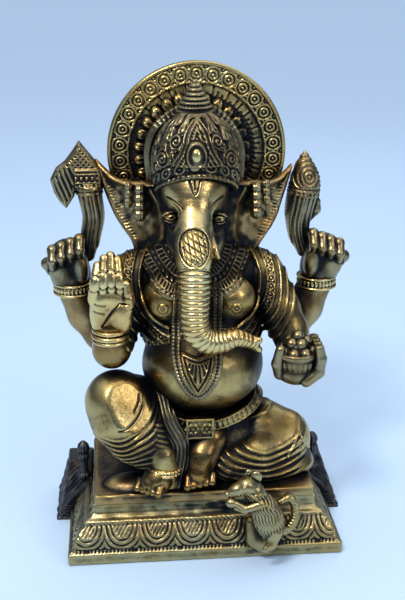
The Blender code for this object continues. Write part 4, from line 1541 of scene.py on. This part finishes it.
def add_object(piece):
    """The piece as an object that rides on the body, with its dark hollows, polish, painted shade and
    painted highlights in point attributes.
    """
    slot, material = FINISHES[piece["finish"]]
    points, quads = piece["points"], piece["quads"]
    normals = mesh_normals(points, quads)
    narrow, wide = hollows(piece, normals)
    close = read_grid(near_grid, grid_low, points + normals * NEAR_LOOK)
    far = read_grid(wide_grid, grid_low, points + normals * FAR_LOOK)
    hollow = narrow / NARROW_DEPTH * 0.5 + wide / WIDE_DEPTH * 0.5
    # Painted shade: darker where the statue's metal crowds round a point, in creases, under parts and
    # between pieces.
    shade = sum(clip((metal - SHADE_FROM) / SHADE_SPAN, 0, 1) * 0.8 for metal in (close, far))
    proud = clip((PROUD_BELOW - far) / PROUD_SPAN, 0, 1)
    # Each piece's extra mark, painted shade and painted highlights on some and a uniform tone on others, is
    # added to the hollows.
    if piece["stain"]:
        hollow = hollow + piece["stain"](points)
    mesh = bpy.data.meshes.new("cast_" + piece["name"])
    mesh.vertices.add(len(points))
    mesh.vertices.foreach_set("co", ((points + SHIFT) * MM).astype(np.float32).ravel())
    mesh.loops.add(quads.size)
    mesh.loops.foreach_set("vertex_index", quads.astype(np.int32).ravel())
    mesh.polygons.add(len(quads))
    mesh.polygons.foreach_set("loop_start", np.arange(0, quads.size, 4, dtype=np.int32))
    mesh.update(calc_edges=True)
    mesh.validate()
    mesh.shade_smooth()
    for key, values in (("hollow", hollow), ("shade", shade), ("proud", proud)):
        mesh.attributes.new(key, "FLOAT", "POINT").data.foreach_set("value", values.astype(np.float32))
    mesh.materials.append(material)
    obj = bpy.data.objects.new("cast_" + piece["name"], mesh)
    bpy.context.scene.collection.objects.link(obj)
    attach(obj, "root")
    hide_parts(piece["name"])


for piece in PIECES:
    add_object(piece)
bolt_metal = brass("bolt_brass", OLIVE, (0.2, 0.15, 0.08), 0.1, 0.35)
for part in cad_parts.values():
    part.data.materials.clear()
    part.data.materials.append(bolt_metal)

# ---- studio


def to_world(x, y, z):
    return Vector((arr(x, y, z) + SHIFT) * MM)


def add_light(name, place, target, size, power, colour):
    lamp = bpy.data.lights.new(name, "AREA")
    lamp.shape = "RECTANGLE"
    lamp.size, lamp.size_y = size
    lamp.energy = power
    lamp.color = colour
    obj = bpy.data.objects.new(name, lamp)
    obj.location = place
    obj.rotation_euler = (Vector(target) - Vector(place)).to_track_quat("-Z", "Y").to_euler()
    bpy.context.scene.collection.objects.link(obj)


def add_backdrop(name, points, faces, sockets, reflected=True):
    """A part of the studio, which isn't part of the object."""
    mesh = bpy.data.meshes.new(name)
    mesh.from_pydata(points, [], faces)
    obj = bpy.data.objects.new(name, mesh)
    bpy.context.scene.collection.objects.link(obj)
    material = bpy.data.materials.new("pale_" + name)
    material.use_nodes = True
    shader = material.node_tree.nodes["Principled BSDF"]
    for socket, value in sockets.items():
        shader.inputs[socket].default_value = value
    mesh.materials.append(material)
    obj.visible_glossy = obj.visible_diffuse = obj.visible_shadow = reflected


def add_studio():
    half = 40.0
    corners = [(-half, -half, 0), (half, -half, 0), (half, half, 0), (-half, half, 0)]
    blue = {"Base Color": (0.54, 0.72, 0.96, 1), "Roughness": 0.9}
    add_backdrop("floor", corners, [(0, 1, 2, 3)], blue)
    sides, radius, height = 48, 16, 14
    around = [TURN * k / sides for k in range(sides)]
    ring = [(radius * math.cos(a), radius * math.sin(a), z) for z in (0, height) for a in around]
    panels = [(k, (k + 1) % sides, (k + 1) % sides + sides, k + sides) for k in range(sides)]
    haze = {"Base Color": (0, 0, 0, 1), "Emission Color": (0.47, 0.62, 0.86, 1), "Emission Strength": 1}
    # The metal reflects the dark room and the bright sky, not this wall.
    add_backdrop("wall", ring, panels, haze, reflected=False)
    world = bpy.data.worlds.new("sky")
    world.use_nodes = True
    tree = world.node_tree
    sky = tree.nodes["Background"]
    way = tree.nodes.new("ShaderNodeSeparateXYZ")
    tree.links.new(tree.nodes.new("ShaderNodeTexCoord").outputs["Generated"], way.inputs[0])
    heights = [
        (0.0, (0.04, 0.06, 0.12)),
        (0.25, (0.06, 0.09, 0.17)),
        (0.5, (0.35, 0.47, 0.75)),
        (0.66, (0.75, 0.85, 1.0)),
        (0.85, (1.9, 1.85, 1.75)),
    ]
    tree.links.new(ramp(tree, way.outputs["Z"], heights), sky.inputs["Color"])
    sky.inputs["Strength"].default_value = 0.72
    bpy.context.scene.world = world
    bpy.context.scene.view_settings.view_transform = "Standard"
    aim = to_world(0, 0, 160)
    add_light("key", (-0.45, -0.7, 1.2), aim, (0.3, 0.25), 10, (1.0, 0.97, 0.92))
    add_light("fill", (0.95, -0.95, 0.85), aim, (0.45, 0.35), 3.5, (1.0, 0.98, 0.95))
    add_light("back", (0.5, 0.9, 1.0), aim, (0.8, 0.5), 2, (0.9, 0.95, 1.0))
    camera = bpy.data.cameras.new("camera")
    camera.sensor_fit = "VERTICAL"
    camera.sensor_height = 36
    camera.lens = 61.2
    camera.clip_start = 0.01
    obj = bpy.data.objects.new("camera", camera)
    obj.location = to_world(-53.5, -655.3, 397.4)
    obj.rotation_euler = (to_world(3.8, 0, 158) - obj.location).to_track_quat("-Z", "Y").to_euler()
    bpy.context.scene.collection.objects.link(obj)
    bpy.context.scene.camera = obj


add_studio()
